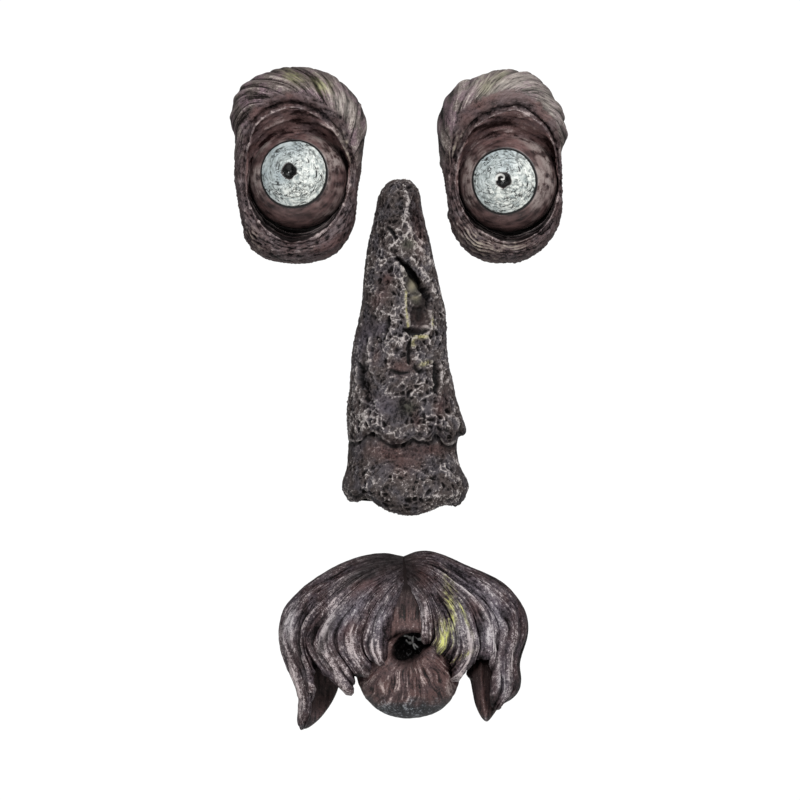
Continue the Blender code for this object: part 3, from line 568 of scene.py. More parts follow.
def speckle_group():
    """The shader group for fine noise fixed to the casting, its scale to the metre."""
    given_values = [("Scale", 500.0), ("Detail", 4.0), ("Roughness", 0.6)]
    tree, given, result = new_group("speckle", given_values, [("Value", "NodeSocketFloat")])
    place = tree.nodes.new("ShaderNodeTexCoord").outputs["Object"]
    grain = noise(tree, place, given["Scale"], given["Detail"], given["Roughness"])
    tree.links.new(grain.outputs["Fac"], result["Value"])
    return tree


def streaks_group():
    """The shader group for noise over two directions, across and along the hair."""
    given_values = [("Across", 0.0), ("Along", 0.0)]
    tree, given, result = new_group("streaks", given_values, [("Value", "NodeSocketFloat")])
    place = tree.nodes.new("ShaderNodeCombineXYZ")
    tree.links.new(given["Across"], place.inputs["X"])
    tree.links.new(given["Along"], place.inputs["Y"])
    tree.links.new(noise(tree, place.outputs["Vector"], 1.0, 3.0).outputs["Fac"], result["Value"])
    return tree


SPECKLE = speckle_group()
STREAKS = streaks_group()


def speckle(tree, scale, detail=4.0, roughness=0.6):
    """Fine noise fixed to the casting, scale to the metre."""
    return grouped(tree, SPECKLE, {"Scale": scale, "Detail": detail, "Roughness": roughness})["Value"]


def streaks(tree, across, along):
    """Noise drawn out along the hair, with so many streaks to a step across it and along it."""
    by_side = scaled(tree, measured(tree, "across"), across, 0.0)
    by_length = scaled(tree, measured(tree, "along"), along, 0.0)
    return grouped(tree, STREAKS, {"Across": by_side, "Along": by_length})["Value"]


def dry_brushed_group():
    """The shader group for brushed resin: a dark wash lies in what is sunk, the body colour over
    the rest, and a pale dry brush catches what is raised. Raised is 0 to 1, and noise breaks it up."""
    given_values = [
        ("Wash", tone(20, 16, 16)), ("Body", tone(80, 66, 64)), ("Tint", tone(70, 66, 76)),
        ("Brush", tone(150, 145, 140)), ("Raised", 0.5), ("Breakup", 0.5),
        ("Brush Start", 0.58), ("Brush Full", 0.9),
    ]
    made = [("Color", "NodeSocketColor"), ("Roughness", "NodeSocketFloat"), ("Height", "NodeSocketFloat")]
    tree, given, result = new_group("dry-brushed resin", given_values, made)
    broad = speckle(tree, 130.0, 3.0)
    middle = speckle(tree, 760.0, 5.0, 0.7)
    grain = reckoned(tree, "ADD", middle, speckle(tree, 2400.0, 2.0))
    level = reckoned(tree, "MULTIPLY_ADD", scaled(tree, grain, 1.0, -1.0), given["Breakup"], given["Raised"])
    colour = coated(
        tree, given["Body"],
        (stepped(tree, broad, 0.42, 0.62), given["Tint"]),
        (stepped(tree, level, 0.46, 0.12), given["Wash"]),
        (stepped(tree, level, given["Brush Start"], given["Brush Full"]), given["Brush"]),
    )
    tree.links.new(colour, result["Color"])
    tree.links.new(blend_number(tree, middle, 0.38, 0.66), result["Roughness"])
    tree.links.new(grain, result["Height"])
    return tree


DRY_BRUSHED = dry_brushed_group()


def brush_over(tree, raised, wash, body, tint, brush, breakup=0.5, start=0.58, full=0.9):
    """The dry-brushed group with a paint's own colours, as display values, and its brush's reach."""
    return grouped(tree, DRY_BRUSHED, {
        "Raised": raised, "Wash": tone(*wash), "Body": tone(*body), "Tint": tone(*tint),
        "Brush": tone(*brush), "Breakup": breakup, "Brush Start": start, "Brush Full": full,
    })


def laid_on(tree, shader, colour, roughness, height, distance):
    """Gives a shader its colour, its roughness, and a bump of height 0 to 1 times metres."""
    bump = tree.nodes.new("ShaderNodeBump")
    bump.inputs["Distance"].default_value = distance
    tree.links.new(height, bump.inputs["Height"])
    tree.links.new(colour, shader.inputs["Base Color"])
    tree.links.new(roughness, shader.inputs["Roughness"])
    tree.links.new(bump.outputs["Normal"], shader.inputs["Normal"])


def sheen(tree, shader, dull):
    """A paint's reflection, which fades where dirt lies in a pit."""
    tree.links.new(blend_number(tree, dull, 0.35, 0.05), shader.inputs["Specular IOR Level"])


def lid_and_brow_paint():
    """Grey-green brushed hair over reddish brown skin, black in pits, painted shade in folds by the lids."""
    material, tree, shader = painted("lid and brow paint")
    hair, raised = measured(tree, "hair"), measured(tree, "raised")
    skin = brush_over(tree, raised, (16, 11, 12), (80, 64, 64), (92, 80, 82), (164, 150, 148), 0.85)
    # Reddish skin paint, lighter than the skin. On the socket's inner wall its lightness is painted light.
    ruddy_and_lit = brush_over(
        tree, raised, (34, 20, 19), (104, 79, 77), (92, 73, 74), (170, 150, 147), 0.6, 0.6, 0.96
    )
    combing, hairs = streaks(tree, 7.0, 1.8), streaks(tree, 17.0, 3.4)
    strands = added(tree, added(tree, raised, combing, 0.8, -0.4), hairs, 0.9, -0.45)
    combed = brush_over(
        tree, strands, (38, 32, 30), (100, 89, 86), (120, 100, 107), (184, 173, 166), 1.1, 0.54, 0.98
    )
    flowing = multiplied(tree, measured(tree, "creased"), clamped(tree, raised, 2.6, -1.0))
    touched = multiplied(tree, measured(tree, "moss"), clamped(tree, combing, 3.2, -1.1))
    lightened = multiplied(tree, measured(tree, "pale"), clamped(tree, combing, 2.4, -0.7))
    colour = coated(
        tree, skin["Color"],
        (measured(tree, "red"), ruddy_and_lit["Color"]),
        (flowing, tone(146, 136, 122)),
        (hair, combed["Color"]),
        (clamped(tree, touched, 0.8, 0.0), tone(168, 168, 124)),
        (multiplied(tree, lightened, clamped(tree, hair, 0.55, 0.2)), tone(196, 188, 180)),
        (measured(tree, "pit"), tone(12, 9, 9)),
    )
    sheen(tree, shader, clamped(tree, raised, -2.2, 1.2))
    laid_on(tree, shader, colour, skin["Roughness"], skin["Height"], 0.00025)
    return material


lid_paint = lid_and_brow_paint()
for side, eye in EYES.items():
    rings, height, angles, even = eye_body(side)
    relief, paints = eye_relief(side, rings, height, angles, even)
    carved = rings + grid_normals(rings, closed=True) * relief[..., None]
    carved[..., 1] = np.minimum(carved[..., 1], 0)
    stretch, shift = fit(carved, eye["node"])
    eye["fit"] = (stretch, shift)
    back = np.array(back_rows(carved[-1][:, [0, 2]], np.array(EYE_SLOT), EYE_BACK_ROWS)[1:])
    whole = np.concatenate([carved, back]) * stretch + shift
    extra = np.zeros(back.shape[:2])
    measures = {
        title: np.concatenate([value, extra + 0.4 * (title == "raised")]) for title, value in paints.items()
    }
    body = ringed(f"{side}_eye_body", whole, measures)
    body.data.materials.append(lid_paint)
    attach(body, "root")
    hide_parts(eye["node"])

# The eyeballs: a brown ball with a raised silver-white iris and a sunk black pupil.
# Ball and iris are part of the eye's casting. The iris is dabbed in white over dark, inside a dark
# line, and the pupil is a smooth pit painted glossy black.

BALL_COLUMNS = 264
BALL_ROWS = 124
PUPIL_ANGLE = 9.4


def to_line(x, z, line):
    """How far each place lies from a drawn line, how far along the line in millimetres that is, and
    the line's whole length."""
    path = smooth_line(line, 6 * len(line)) if len(line) > 2 else np.array(line, float)
    best = np.full(x.shape, np.inf)
    along = np.zeros(x.shape)
    walked = 0.0
    for start, end in zip(path[:-1], path[1:]):
        step = end - start
        length = np.hypot(*step)
        t = np.clip(((x - start[0]) * step[0] + (z - start[1]) * step[1]) / length**2, 0, 1)
        distance = np.hypot(x - start[0] - t * step[0], z - start[1] - t * step[1])
        closer = distance < best
        best = np.where(closer, distance, best)
        along = np.where(closer, walked + t * length, along)
        walked += length
    return best, along, walked


def eyeball(side):
    """Rings round the gaze, from the pupil to behind the lids, closed by a flat back. A point lies
    its own spread angle from the gaze, at the ball's radius plus its relief."""
    eye = EYES[side]
    right, up = np.radians(eye["gaze"][0]), np.radians(eye["gaze"][1])
    ahead = np.array([np.sin(right) * np.cos(up), -np.cos(right) * np.cos(up), np.sin(up)])
    aside = np.array([np.cos(right), np.sin(right), 0.0])
    over = np.cross(ahead, aside)
    round_gaze = np.linspace(0, 2 * np.pi, BALL_COLUMNS, endpoint=False)[None, :]
    spread = np.concatenate([np.linspace(0.4, 46, 84), np.linspace(46.9, 96, BALL_ROWS - 84)])[:, None]
    s = np.radians(spread)
    east, north = np.cos(round_gaze), np.sin(round_gaze)
    facing = ahead * np.cos(s)[..., None]
    facing = facing + np.sin(s)[..., None] * (aside * east[..., None] + over * north[..., None])
    seed = eye["seed"] + 50
    uneven = 1 + 0.05 * np.cos(5 * round_gaze + seed) + 0.04 * np.cos(3 * round_gaze)
    aside_by, over_by = eye["pupil_off"]
    out_by = BALL_RADIUS * np.sin(s)
    beside, above = out_by * east - aside_by, out_by * north - over_by
    from_pupil = np.hypot(beside, above)
    from_pupil = np.degrees(from_pupil / BALL_RADIUS) + 100.0 * (spread > 60)
    pupil = 1 - rise(0.86, 1.08, from_pupil / (PUPIL_ANGLE * uneven))
    hollow = 1 - rise(0.1, 1.05, from_pupil / (PUPIL_ANGLE * uneven))
    edge = eye["iris_angle"] * (1 + 0.008 * np.cos(4 * round_gaze + seed))
    iris = rise(edge + 0.5, edge - 0.7, spread)
    rim = rise(edge - 0.8, edge - 0.2, spread) * rise(edge + 4.0, edge + 2.6, spread)
    glint = 0 * from_pupil
    if eye["glint"]:
        glint = (1 - rise(0.25, 0.62, to_line(beside, above, eye["glint"])[0])) * (spread < 40)
    swirl = placed(s * 20, 2.2 * east, 2.2 * north)
    dabs = ripple(swirl + 0.8 * ripple(facing * 12.0, seed)[..., None], seed + 1)
    lines = 1 - rise(0.04, 0.3, np.abs(dabs + 0.5 * ripple(facing * 22.0, seed + 2)))
    worn = rise(-0.7, 0.5, ripple(facing * 4.0, seed + 3) + 0.35 * np.cos(round_gaze + 0.3))
    lines = lines * worn * iris * (1 - pupil)
    brushed = 0.6 * ripples(facing * np.array([5.0, 5.0, 9.0]), 3, seed + 4)
    brushed += 0.5 * ripple(placed(facing[..., 0] * 7, facing[..., 2] * 7, s * 30), seed + 9)
    relief = 0.2 * iris - 0.25 * rim - 2.2 * hollow - 0.4 * pupil - 0.15 * lines + 0.07 * brushed
    relief += 0.1 * iris * (1 - pupil) * ripple(facing * 20.0, seed + 5)
    ball = (BALL_RADIUS + relief)[..., None] * facing - np.array([0.0, BALL_MIDDLE, 0.0])
    ball[..., 1] = np.minimum(ball[..., 1], -4.0)
    worn_white = 0.35 + 0.5 * ripple(facing * 3.0, seed + 6) + 0.4 * np.cos(round_gaze - 2.6)
    # Painted light: random blotches, with painted highlights on both sides of the ball and painted shade
    # towards its bottom.
    sides = bell(facing[..., 0] - 0.7, 0.25)
    sides += 0.7 * bell(facing[..., 0] + 0.8, 0.2)
    blotches_and_painted_light = ripples(facing * 2.6, 3, seed + 7) + 0.9 * sides - 0.9 * rise(0.0, 0.7, -facing[..., 2])
    measures = {
        "blotches_and_painted_light": blotches_and_painted_light, "glint": glint, "blue": worn_white, "brushed": brushed, "lines": lines,
        "iris": iris * (1 - pupil), "pupil": pupil, "rim": rim,
        "east": east, "north": north, "out": s * BALL_RADIUS,
    }
    return ball, {title: values + 0 * relief for title, values in measures.items()}


def eyeball_paint():
    """Brown glaze with painted highlights and shade, dabbed white on the iris, gloss black in the pupil."""
    material, tree, shader = painted("eyeball paint")
    brushed = measured(tree, "brushed")
    fine = speckle(tree, 1400.0)
    # Painted highlights: the pale coat lies on the ball's blotches and lit sides along its strokes, and fades
    # towards its shaded bottom.
    patchy = clamped(tree, measured(tree, "blotches_and_painted_light"), 0.9, 0.05)
    dragged = added(tree, clamped(tree, brushed, 0.9, 0.35), fine, 1.6, -0.8)
    flecked = clamped(tree, speckle(tree, 520.0, 5.0, 0.7), -9.0, 3.9)
    dusted = clamped(tree, speckle(tree, 950.0, 4.0, 0.7), 12.0, -7.4)
    glaze = coated(
        tree, tone(38, 24, 24),
        (clamped(tree, brushed, 0.8, 0.5), tone(110, 85, 83)),
        (multiplied(tree, patchy, clamped(tree, dragged, 1.5, 0.0)), tone(150, 138, 134)),
        (clamped(tree, flecked, 0.7, 0.0), tone(26, 17, 17)),
        (clamped(tree, dusted, 0.5, 0.0), tone(150, 143, 150)),
    )
    # Squiggles on the iris: thin lines where noise round the gaze crosses its middle value.
    place = tree.nodes.new("ShaderNodeCombineXYZ")
    for title, socket, scale in (("out", "X", 0.5), ("east", "Y", 2.5), ("north", "Z", 2.5)):
        tree.links.new(scaled(tree, measured(tree, title), scale, 0.0), place.inputs[socket])
    curled = noise(tree, place.outputs["Vector"], 1.0, 1.5, 0.55, 1.2).outputs["Fac"]
    curl = clamped(tree, reckoned(tree, "ABSOLUTE", scaled(tree, curled, 1.0, -0.5)), -26.0, 1.5)
    worn = clamped(tree, speckle(tree, 230.0, 3.0), 6.0, -2.35)
    blue = clamped(tree, measured(tree, "blue"), 0.9, 0.0)
    mottled = clamped(tree, speckle(tree, 520.0, 3.0), 4.0, -1.4)
    iris = coated(
        tree, tone(146, 155, 154),
        (mottled, blend(tree, blue, tone(222, 225, 219), tone(150, 165, 172))),
        (multiplied(tree, curl, worn), tone(26, 29, 29)),
        (clamped(tree, measured(tree, "lines"), 0.7, 0.0), tone(48, 52, 51)),
    )
    pupil = measured(tree, "pupil")
    colour = coated(
        tree, glaze, (measured(tree, "iris"), iris), (measured(tree, "rim"), tone(9, 7, 7)),
        (pupil, tone(12, 12, 12)), (measured(tree, "glint"), tone(214, 214, 210)),
    )
    laid_on(tree, shader, colour, blend_number(tree, pupil, 0.5, 0.14), fine, 0.00008)
    return material


ball_paint = eyeball_paint()
for side, eye in EYES.items():
    stretch, shift_by = eye["fit"]
    rings, measures = eyeball(side)
    ball = ringed(f"{side}_eyeball", rings * stretch + shift_by, measures)
    ball.data.materials.append(ball_paint)
    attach(ball, "root")
    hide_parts(eye["node"])

# The nose: a sleeve of old bark with a ragged rim, over a smoother tip with two wings.
# It is one casting with a flat back. A net of sharp ridges and pits covers the bark, a long split
# shows bare wood beside it, and moss-yellow paint is brushed round the split's lower end.

# Height, left edge, right edge, depth, share of the rim's rise and of the underside's, in mm.
NOSE_SECTIONS = [
    (72.6, -3.0, 1.0, 0.0, 0, 0), (72.6, -4.5, 2.5, 4.0, 0, 0), (71.0, -6.8, 4.5, 8.0, 0, 0),
    (68.9, -9.0, 6.3, 11.0, 0, 0), (65.3, -10.8, 7.7, 13.5, 0, 0), (60.8, -11.9, 8.3, 15.5, 0, 0),
    (54.9, -13.0, 9.5, 17.0, 0, 0), (48.6, -14.6, 11.0, 18.5, 0, 0), (42.3, -15.8, 12.6, 20.0, 0, 0),
    (37.5, -16.5, 13.6, 21.2, 0, 0), (33.0, -17.1, 14.5, 22.2, 0, 0), (28.0, -17.7, 15.6, 23.3, 0, 0),
    (22.5, -18.0, 16.9, 24.5, 0, 0), (17.0, -18.4, 18.2, 25.8, 0, 0), (12.0, -19.2, 19.1, 26.6, 0, 0),
    (7.0, -20.3, 19.4, 27.3, 0, 0), (1.0, -21.8, 19.4, 28.2, 0, 0), (-5.0, -22.7, 19.6, 29.0, 0, 0),
    (-11.3, -23.2, 20.5, 30.0, 0, 0), (-18.0, -23.6, 22.0, 31.0, 0, 0),
    (-24.8, -24.3, 23.4, 32.0, 0, 0), (-31.5, -25.2, 25.2, 33.0, 0.15, 0),
    (-37.8, -25.2, 27.2, 33.6, 0.5, 0), (-42.3, -25.0, 28.4, 33.8, 0.9, 0),
    (-44.6, -24.8, 28.0, 33.2, 1, 0), (-45.8, -24.5, 25.6, 30.6, 1, 0), (-46.4, -24.4, 24.6, 28.6, 1, 0),
    (-50.0, -24.8, 24.3, 30.0, 0.5, 0.05), (-54.5, -25.0, 24.8, 32.2, 0, 0.1),
    (-59.0, -25.6, 26.5, 35.2, 0, 0.2), (-63.5, -26.9, 28.6, 37.6, 0, 0.35),
    (-67.5, -27.5, 29.7, 37.8, 0, 0.6), (-70.6, -26.6, 29.0, 34.5, 0, 0.9),
    (-72.0, -25.5, 27.8, 29.0, 0, 1), (-72.0, -25.0, 27.3, 15.0, 0, 1), (-72.0, -24.8, 27.0, 0.0, 0, 1),
]
NOSE_ROWS = 424
NOSE_COLUMNS = 200
# How far the rim rises over its straight line, and the underside's height, across the nose.
RIM = [
    (-25, 0), (-22, -0.4), (-19, 0.2), (-17.2, 2.6), (-15, 3.6), (-13, 4.5), (-10.5, 2.7), (-8.8, 1.2),
    (-7, -0.4), (-4, -1.4), (-1, -1.6), (2, 0.2), (4.5, 1.6), (7, 0.3), (9.5, 0.4), (12, 0), (14, 2.6),
    (15.5, 3.2), (17.2, 1.2), (19, -1.2), (21, -1.6), (23.5, -0.5), (25, 1.4), (27, 1.8),
]
UNDERSIDE = [
    (-26, -71.5), (-23, -73), (-19.5, -72.7), (-16, -71.5), (-10.5, -75.2), (-3.5, -78.3), (3, -79.2),
    (10, -78.3), (15.5, -75.8), (19.5, -74.5), (24, -75.2), (27, -72.9), (29, -70.2),
]
# Hollows and swellings: place, half sizes, turn and height. Bare wood by the split, the cavity
# below it, the low basin, the flanks beside the crevice and the pit; then the mound, the two
# wings, the curled lump at the rim and the folds of bark between them.
NOSE_FORMS = [
    ((3.6, 25.0), (8.0, 3.6), -78, -3.0), ((6.6, 10.5), (6.0, 3.8), -84, -4.6),
    ((-0.5, -32.0), (9.0, 8.2), 0, -2.6), ((-18.0, -14.0), (9.0, 2.0), 84, -0.8),
    ((14.6, -17.0), (8.0, 2.4), -86, -1.5), ((-10.0, 4.5), (3.2, 3.6), 0, -0.9),
    ((7.3, -1.2), (4.2, 2.6), 0, 1.6), ((-22.0, -67.0), (6.0, 5.5), 0, 2.2),
    ((23.5, -68.0), (6.0, 5.5), 0, 2.2), ((20.8, -40.5), (3.4, 4.0), 20, 2.4),
    ((13.5, -33.5), (9.0, 3.0), -75, 1.5), ((-10.0, -22.0), (10.0, 3.0), 80, 0.9),
    ((-14.0, -38.5), (5.0, 4.0), 0, 0.8), ((-5.0, 60.0), (6.0, 2.5), 80, 0.6),
    ((1.2, 62.0), (12.0, 1.6), -87, 0.9), ((-12.0, 30.0), (7.0, 3.0), 70, 0.7),
    ((-9.0, 14.0), (6.0, 3.0), 60, 0.8), ((11.0, 40.0), (6.0, 3.0), -70, 0.7),
]
# Cracks: half width, depth and line. The long split, the cavity's lower crack, the crack under
# the mound, the left crevice, the right pit, small ones round them, and the nostril's edge.
NOSE_CRACKS = [
    (1.3, 6.5, [(-2.9, 37.6), (0.4, 34.2), (4.2, 29.2), (7.6, 24.0), (10.9, 18.6), (10.6, 14.6)]),
    (1.3, 3.6, [(0.2, 4.6), (5.5, 3.4), (11.4, 4.3)]), (0.8, 3.2, [(3.4, 0.6), (2.4, -4.5), (2.8, -11.5)]),
    (1.3, 4.0, [(-20.0, -10.5), (-18.8, -14.0), (-19.2, -18.0), (-18.0, -22.5)]),
    (1.3, 2.4, [(14.0, -10.5), (14.8, -17.0), (14.0, -24.5)]),
    (0.8, 2.6, [(-6.0, 10.5), (-7.2, 6.0), (-8.0, 1.5)]),
    (0.7, 1.8, [(-7.6, 51.0), (-4.8, 48.8), (-3.4, 45.6)]), (0.6, 1.6, [(14.6, 22.4), (15.8, 20.4)]),
    (0.6, 1.4, [(-23.8, -70.2), (-21.0, -71.6), (-18.4, -71.2)]), (0.8, 1.8, [(19.2, -40.2), (20.6, -42.0)]),
    (0.7, 2.2, [(25.4, -37.5), (26.0, -42.0), (25.0, -45.5)]),
    (0.7, 1.6, [(-6.4, -13.5), (-2.0, -15.2), (2.4, -15.0)]),
    (0.7, 2.0, [(4.8, -10.8), (6.8, -14.6), (10.0, -14.2)]),
]
# Sharp raised edges: half width, height and line. The top's ridge, the split's lip, the edges of
# the bare wood, of the cavity and of the mound, the basin's rim and the crevice's two sides.
NOSE_EDGES = [
    (0.7, 1.1, [(0.2, 70.0), (1.6, 64.0), (1.4, 58.0), (0.6, 53.5), (-2.0, 50.5), (-5.5, 47.5)]),
    (0.6, 0.8, [(0.6, 53.5), (3.0, 50.0), (1.0, 46.0), (5.5, 43.2), (9.0, 38.5), (13.6, 33.0)]),
    (0.8, 0.9, [(-1.0, 39.4), (4.0, 36.6), (8.6, 31.0), (12.0, 25.2), (14.8, 18.6)]),
    (0.6, 1.1, [(-5.0, 38.4), (-3.2, 35.0), (0.0, 32.2), (-1.6, 29.0), (0.2, 25.0)]),
    (0.8, 1.5, [(0.2, 25.0), (0.8, 19.0), (1.2, 12.0), (2.2, 6.0), (0.2, 1.0), (-1.0, -3.0)]),
    (0.6, 1.2, [(2.6, 20.4), (5.6, 18.8), (8.2, 20.2)]), (0.5, 0.8, [(3.2, 16.0), (6.0, 14.8), (8.4, 16.0)]),
    (0.7, 1.3, [(11.6, 13.0), (12.8, 7.5), (12.6, 2.0)]),
    (0.6, 1.0, [(4.2, -0.6), (7.4, 1.6), (10.8, 0.2), (12.2, -2.8)]),
    (0.55, 1.0, [(8.0, -26.5), (8.6, -31.5), (8.0, -38.0), (4.6, -42.2)]),
    (0.6, 1.0, [(-14.2, 2.5), (-15.0, -6.0), (-14.4, -13.5), (-12.0, -20.0)]),
    (0.6, 0.9, [(-19.6, 0.0), (-20.4, -10.0), (-20.2, -22.0), (-16.5, -31.0), (-15.5, -38.0)]),
    (0.5, 0.9, [(12.2, -10.0), (12.6, -17.0), (13.0, -24.0), (9.0, -27.0)]),
    (0.5, 0.9, [(16.4, -10.0), (17.0, -17.0), (16.2, -25.5), (15.0, -32.0), (14.6, -38.6)]),
    (0.5, 0.8, [(2.2, -11.5), (4.6, -8.8), (7.6, -9.8), (7.2, -13.2), (4.4, -14.4)]),
    (0.5, 0.8, [(-7.8, -1.0), (-6.4, -6.0), (-6.8, -12.0), (-5.0, -17.0), (-8.0, -24.0)]),
    (0.6, 0.9, [(17.2, -38.0), (19.0, -35.2), (22.4, -35.4), (24.4, -38.6), (23.6, -43.0)]),
]
# Places for each paint: moss, smooth reddish skin, wood, its bare pale edge, lilac-grey, painted shade
# in the cavity by the split, and places where the bark is dim and worn flat.
NOSE_TINTS = {
    "moss": [
        ((0.9, 19.5), (2.4, 0.4), -88), ((1.4, 12.0), (4.5, 0.45), -86), ((2.0, 5.0), (2.0, 0.4), -80),
        ((7.6, 1.0), (3.4, 0.8), 0), ((12.8, 7.0), (2.6, 0.4), -88), ((4.6, -1.6), (1.4, 1.0), 60),
        ((9.5, -11.0), (2.2, 0.9), 20),
    ],
    "red": [
        ((6.6, 51.0), (11.0, 3.0), -84), ((-7.2, 28.0), (3.0, 3.0), 0), ((-10.0, 19.0), (5.0, 3.0), 60),
        ((6.6, 9.0), (5.0, 3.6), -84), ((-7.5, -50.5), (9.0, 4.5), 0), ((2.0, -56.0), (7.0, 5.0), 20),
        ((6.0, -36.0), (4.0, 1.6), -80), ((-1.0, -13.0), (5.0, 4.0), 0), ((12.0, -50.0), (8.0, 3.0), 0),
        ((-12.0, -8.0), (4.0, 1.8), 80), ((17.0, -30.0), (6.0, 3.0), 70),
    ],
    "wood": [
        ((4.0, 25.0), (6.5, 2.8), -70), ((5.8, 17.5), (2.0, 2.6), 0), ((2.2, 43.0), (2.6, 2.2), 0),
        ((2.0, -31.0), (3.6, 3.0), 0),
    ],
    "lilac": [((-10.0, 5.0), (4.0, 3.0), 0), ((-17.0, 1.0), (8.0, 3.0), 80), ((-8.0, -30.0), (6.0, 5.0), 0)],
    "deep": [((6.8, 10.8), (6.6, 4.0), -84), ((9.6, 19.0), (4.0, 1.6), 80)],
    "bare": [((3.9, 24.0), (1.5, 2.8), -20), ((5.4, 18.6), (2.0, 0.7), 0)],
    "dim": [
        ((-1.0, -31.0), (8.0, 6.5), 0), ((-17.6, -15.0), (8.0, 2.0), 84), ((14.6, -17.0), (7.5, 2.0), -86),
        ((-14.0, -20.0), (4.0, 3.0), 40), ((-5.0, 36.0), (3.0, 2.0), 60), ((-13.0, 6.0), (3.5, 7.0), 0),
        ((-7.5, 57.0), (3.5, 8.0), 0), ((4.5, 58.0), (2.5, 8.0), 0), ((-1.0, 62.0), (3.0, 5.0), 0),
    ],
}
BARK_CELL = 3.0
NOSE_BOTTOM = -72.0
NOSE_SLOT = (0.0, 35.0)


def pinched(along, length):
    """1 along a line's middle, falling to 0.25 at both of its ends."""
    return 0.25 + 0.75 * np.clip(np.sin(np.pi * np.clip(along / length, 0, 1)), 0, 1) ** 0.6


def nose_front():
    """The smooth front of the nose: each row is a section, as x = middle + half cos(t) and
    depth = d sin(t) ** 0.8, between sections that follow Catmull-Rom curves."""
    dense = smooth_line(NOSE_SECTIONS, 3000)
    walked = np.concatenate([[0], np.cumsum(np.hypot(np.diff(dense[:, 0]), np.diff(dense[:, 3])))])
    even = np.linspace(0, walked[-1], NOSE_ROWS)
    section = np.stack([np.interp(even, walked, dense[:, k]) for k in range(6)], axis=1)
    fine = np.linspace(0, np.pi, 2000)
    steps = np.hypot(np.diff(22 * np.cos(fine)), np.diff(30 * np.sin(fine) ** 0.8))
    arc = np.concatenate([[0], np.cumsum(steps)])
    turn = np.pi - np.interp(np.linspace(0, arc[-1], NOSE_COLUMNS), arc, fine)
    middle, half = (section[:, 1] + section[:, 2]) / 2, (section[:, 2] - section[:, 1]) / 2
    x = middle[:, None] + half[:, None] * np.cos(turn)
    bulge = np.abs(np.sin(turn)) ** 0.8
    bulge[[0, -1]] = 0.0
    rim, underside = smooth_line(RIM, 400), smooth_line(UNDERSIDE, 300)
    z = section[:, :1] + section[:, 4:5] * np.interp(x, rim[:, 0], rim[:, 1])
    z = z + section[:, 5:6] * (np.interp(x, underside[:, 0], underside[:, 1]) - NOSE_BOTTOM)
    depth = np.maximum(section[:, 3:4], 0) * bulge
    for at, size, turned, swelling in NOSE_FORMS:
        depth = depth + swelling * dab(x, z, at, size, turned) * rise(0, 12, depth)
    return placed(x, -np.maximum(depth, 0), z), section


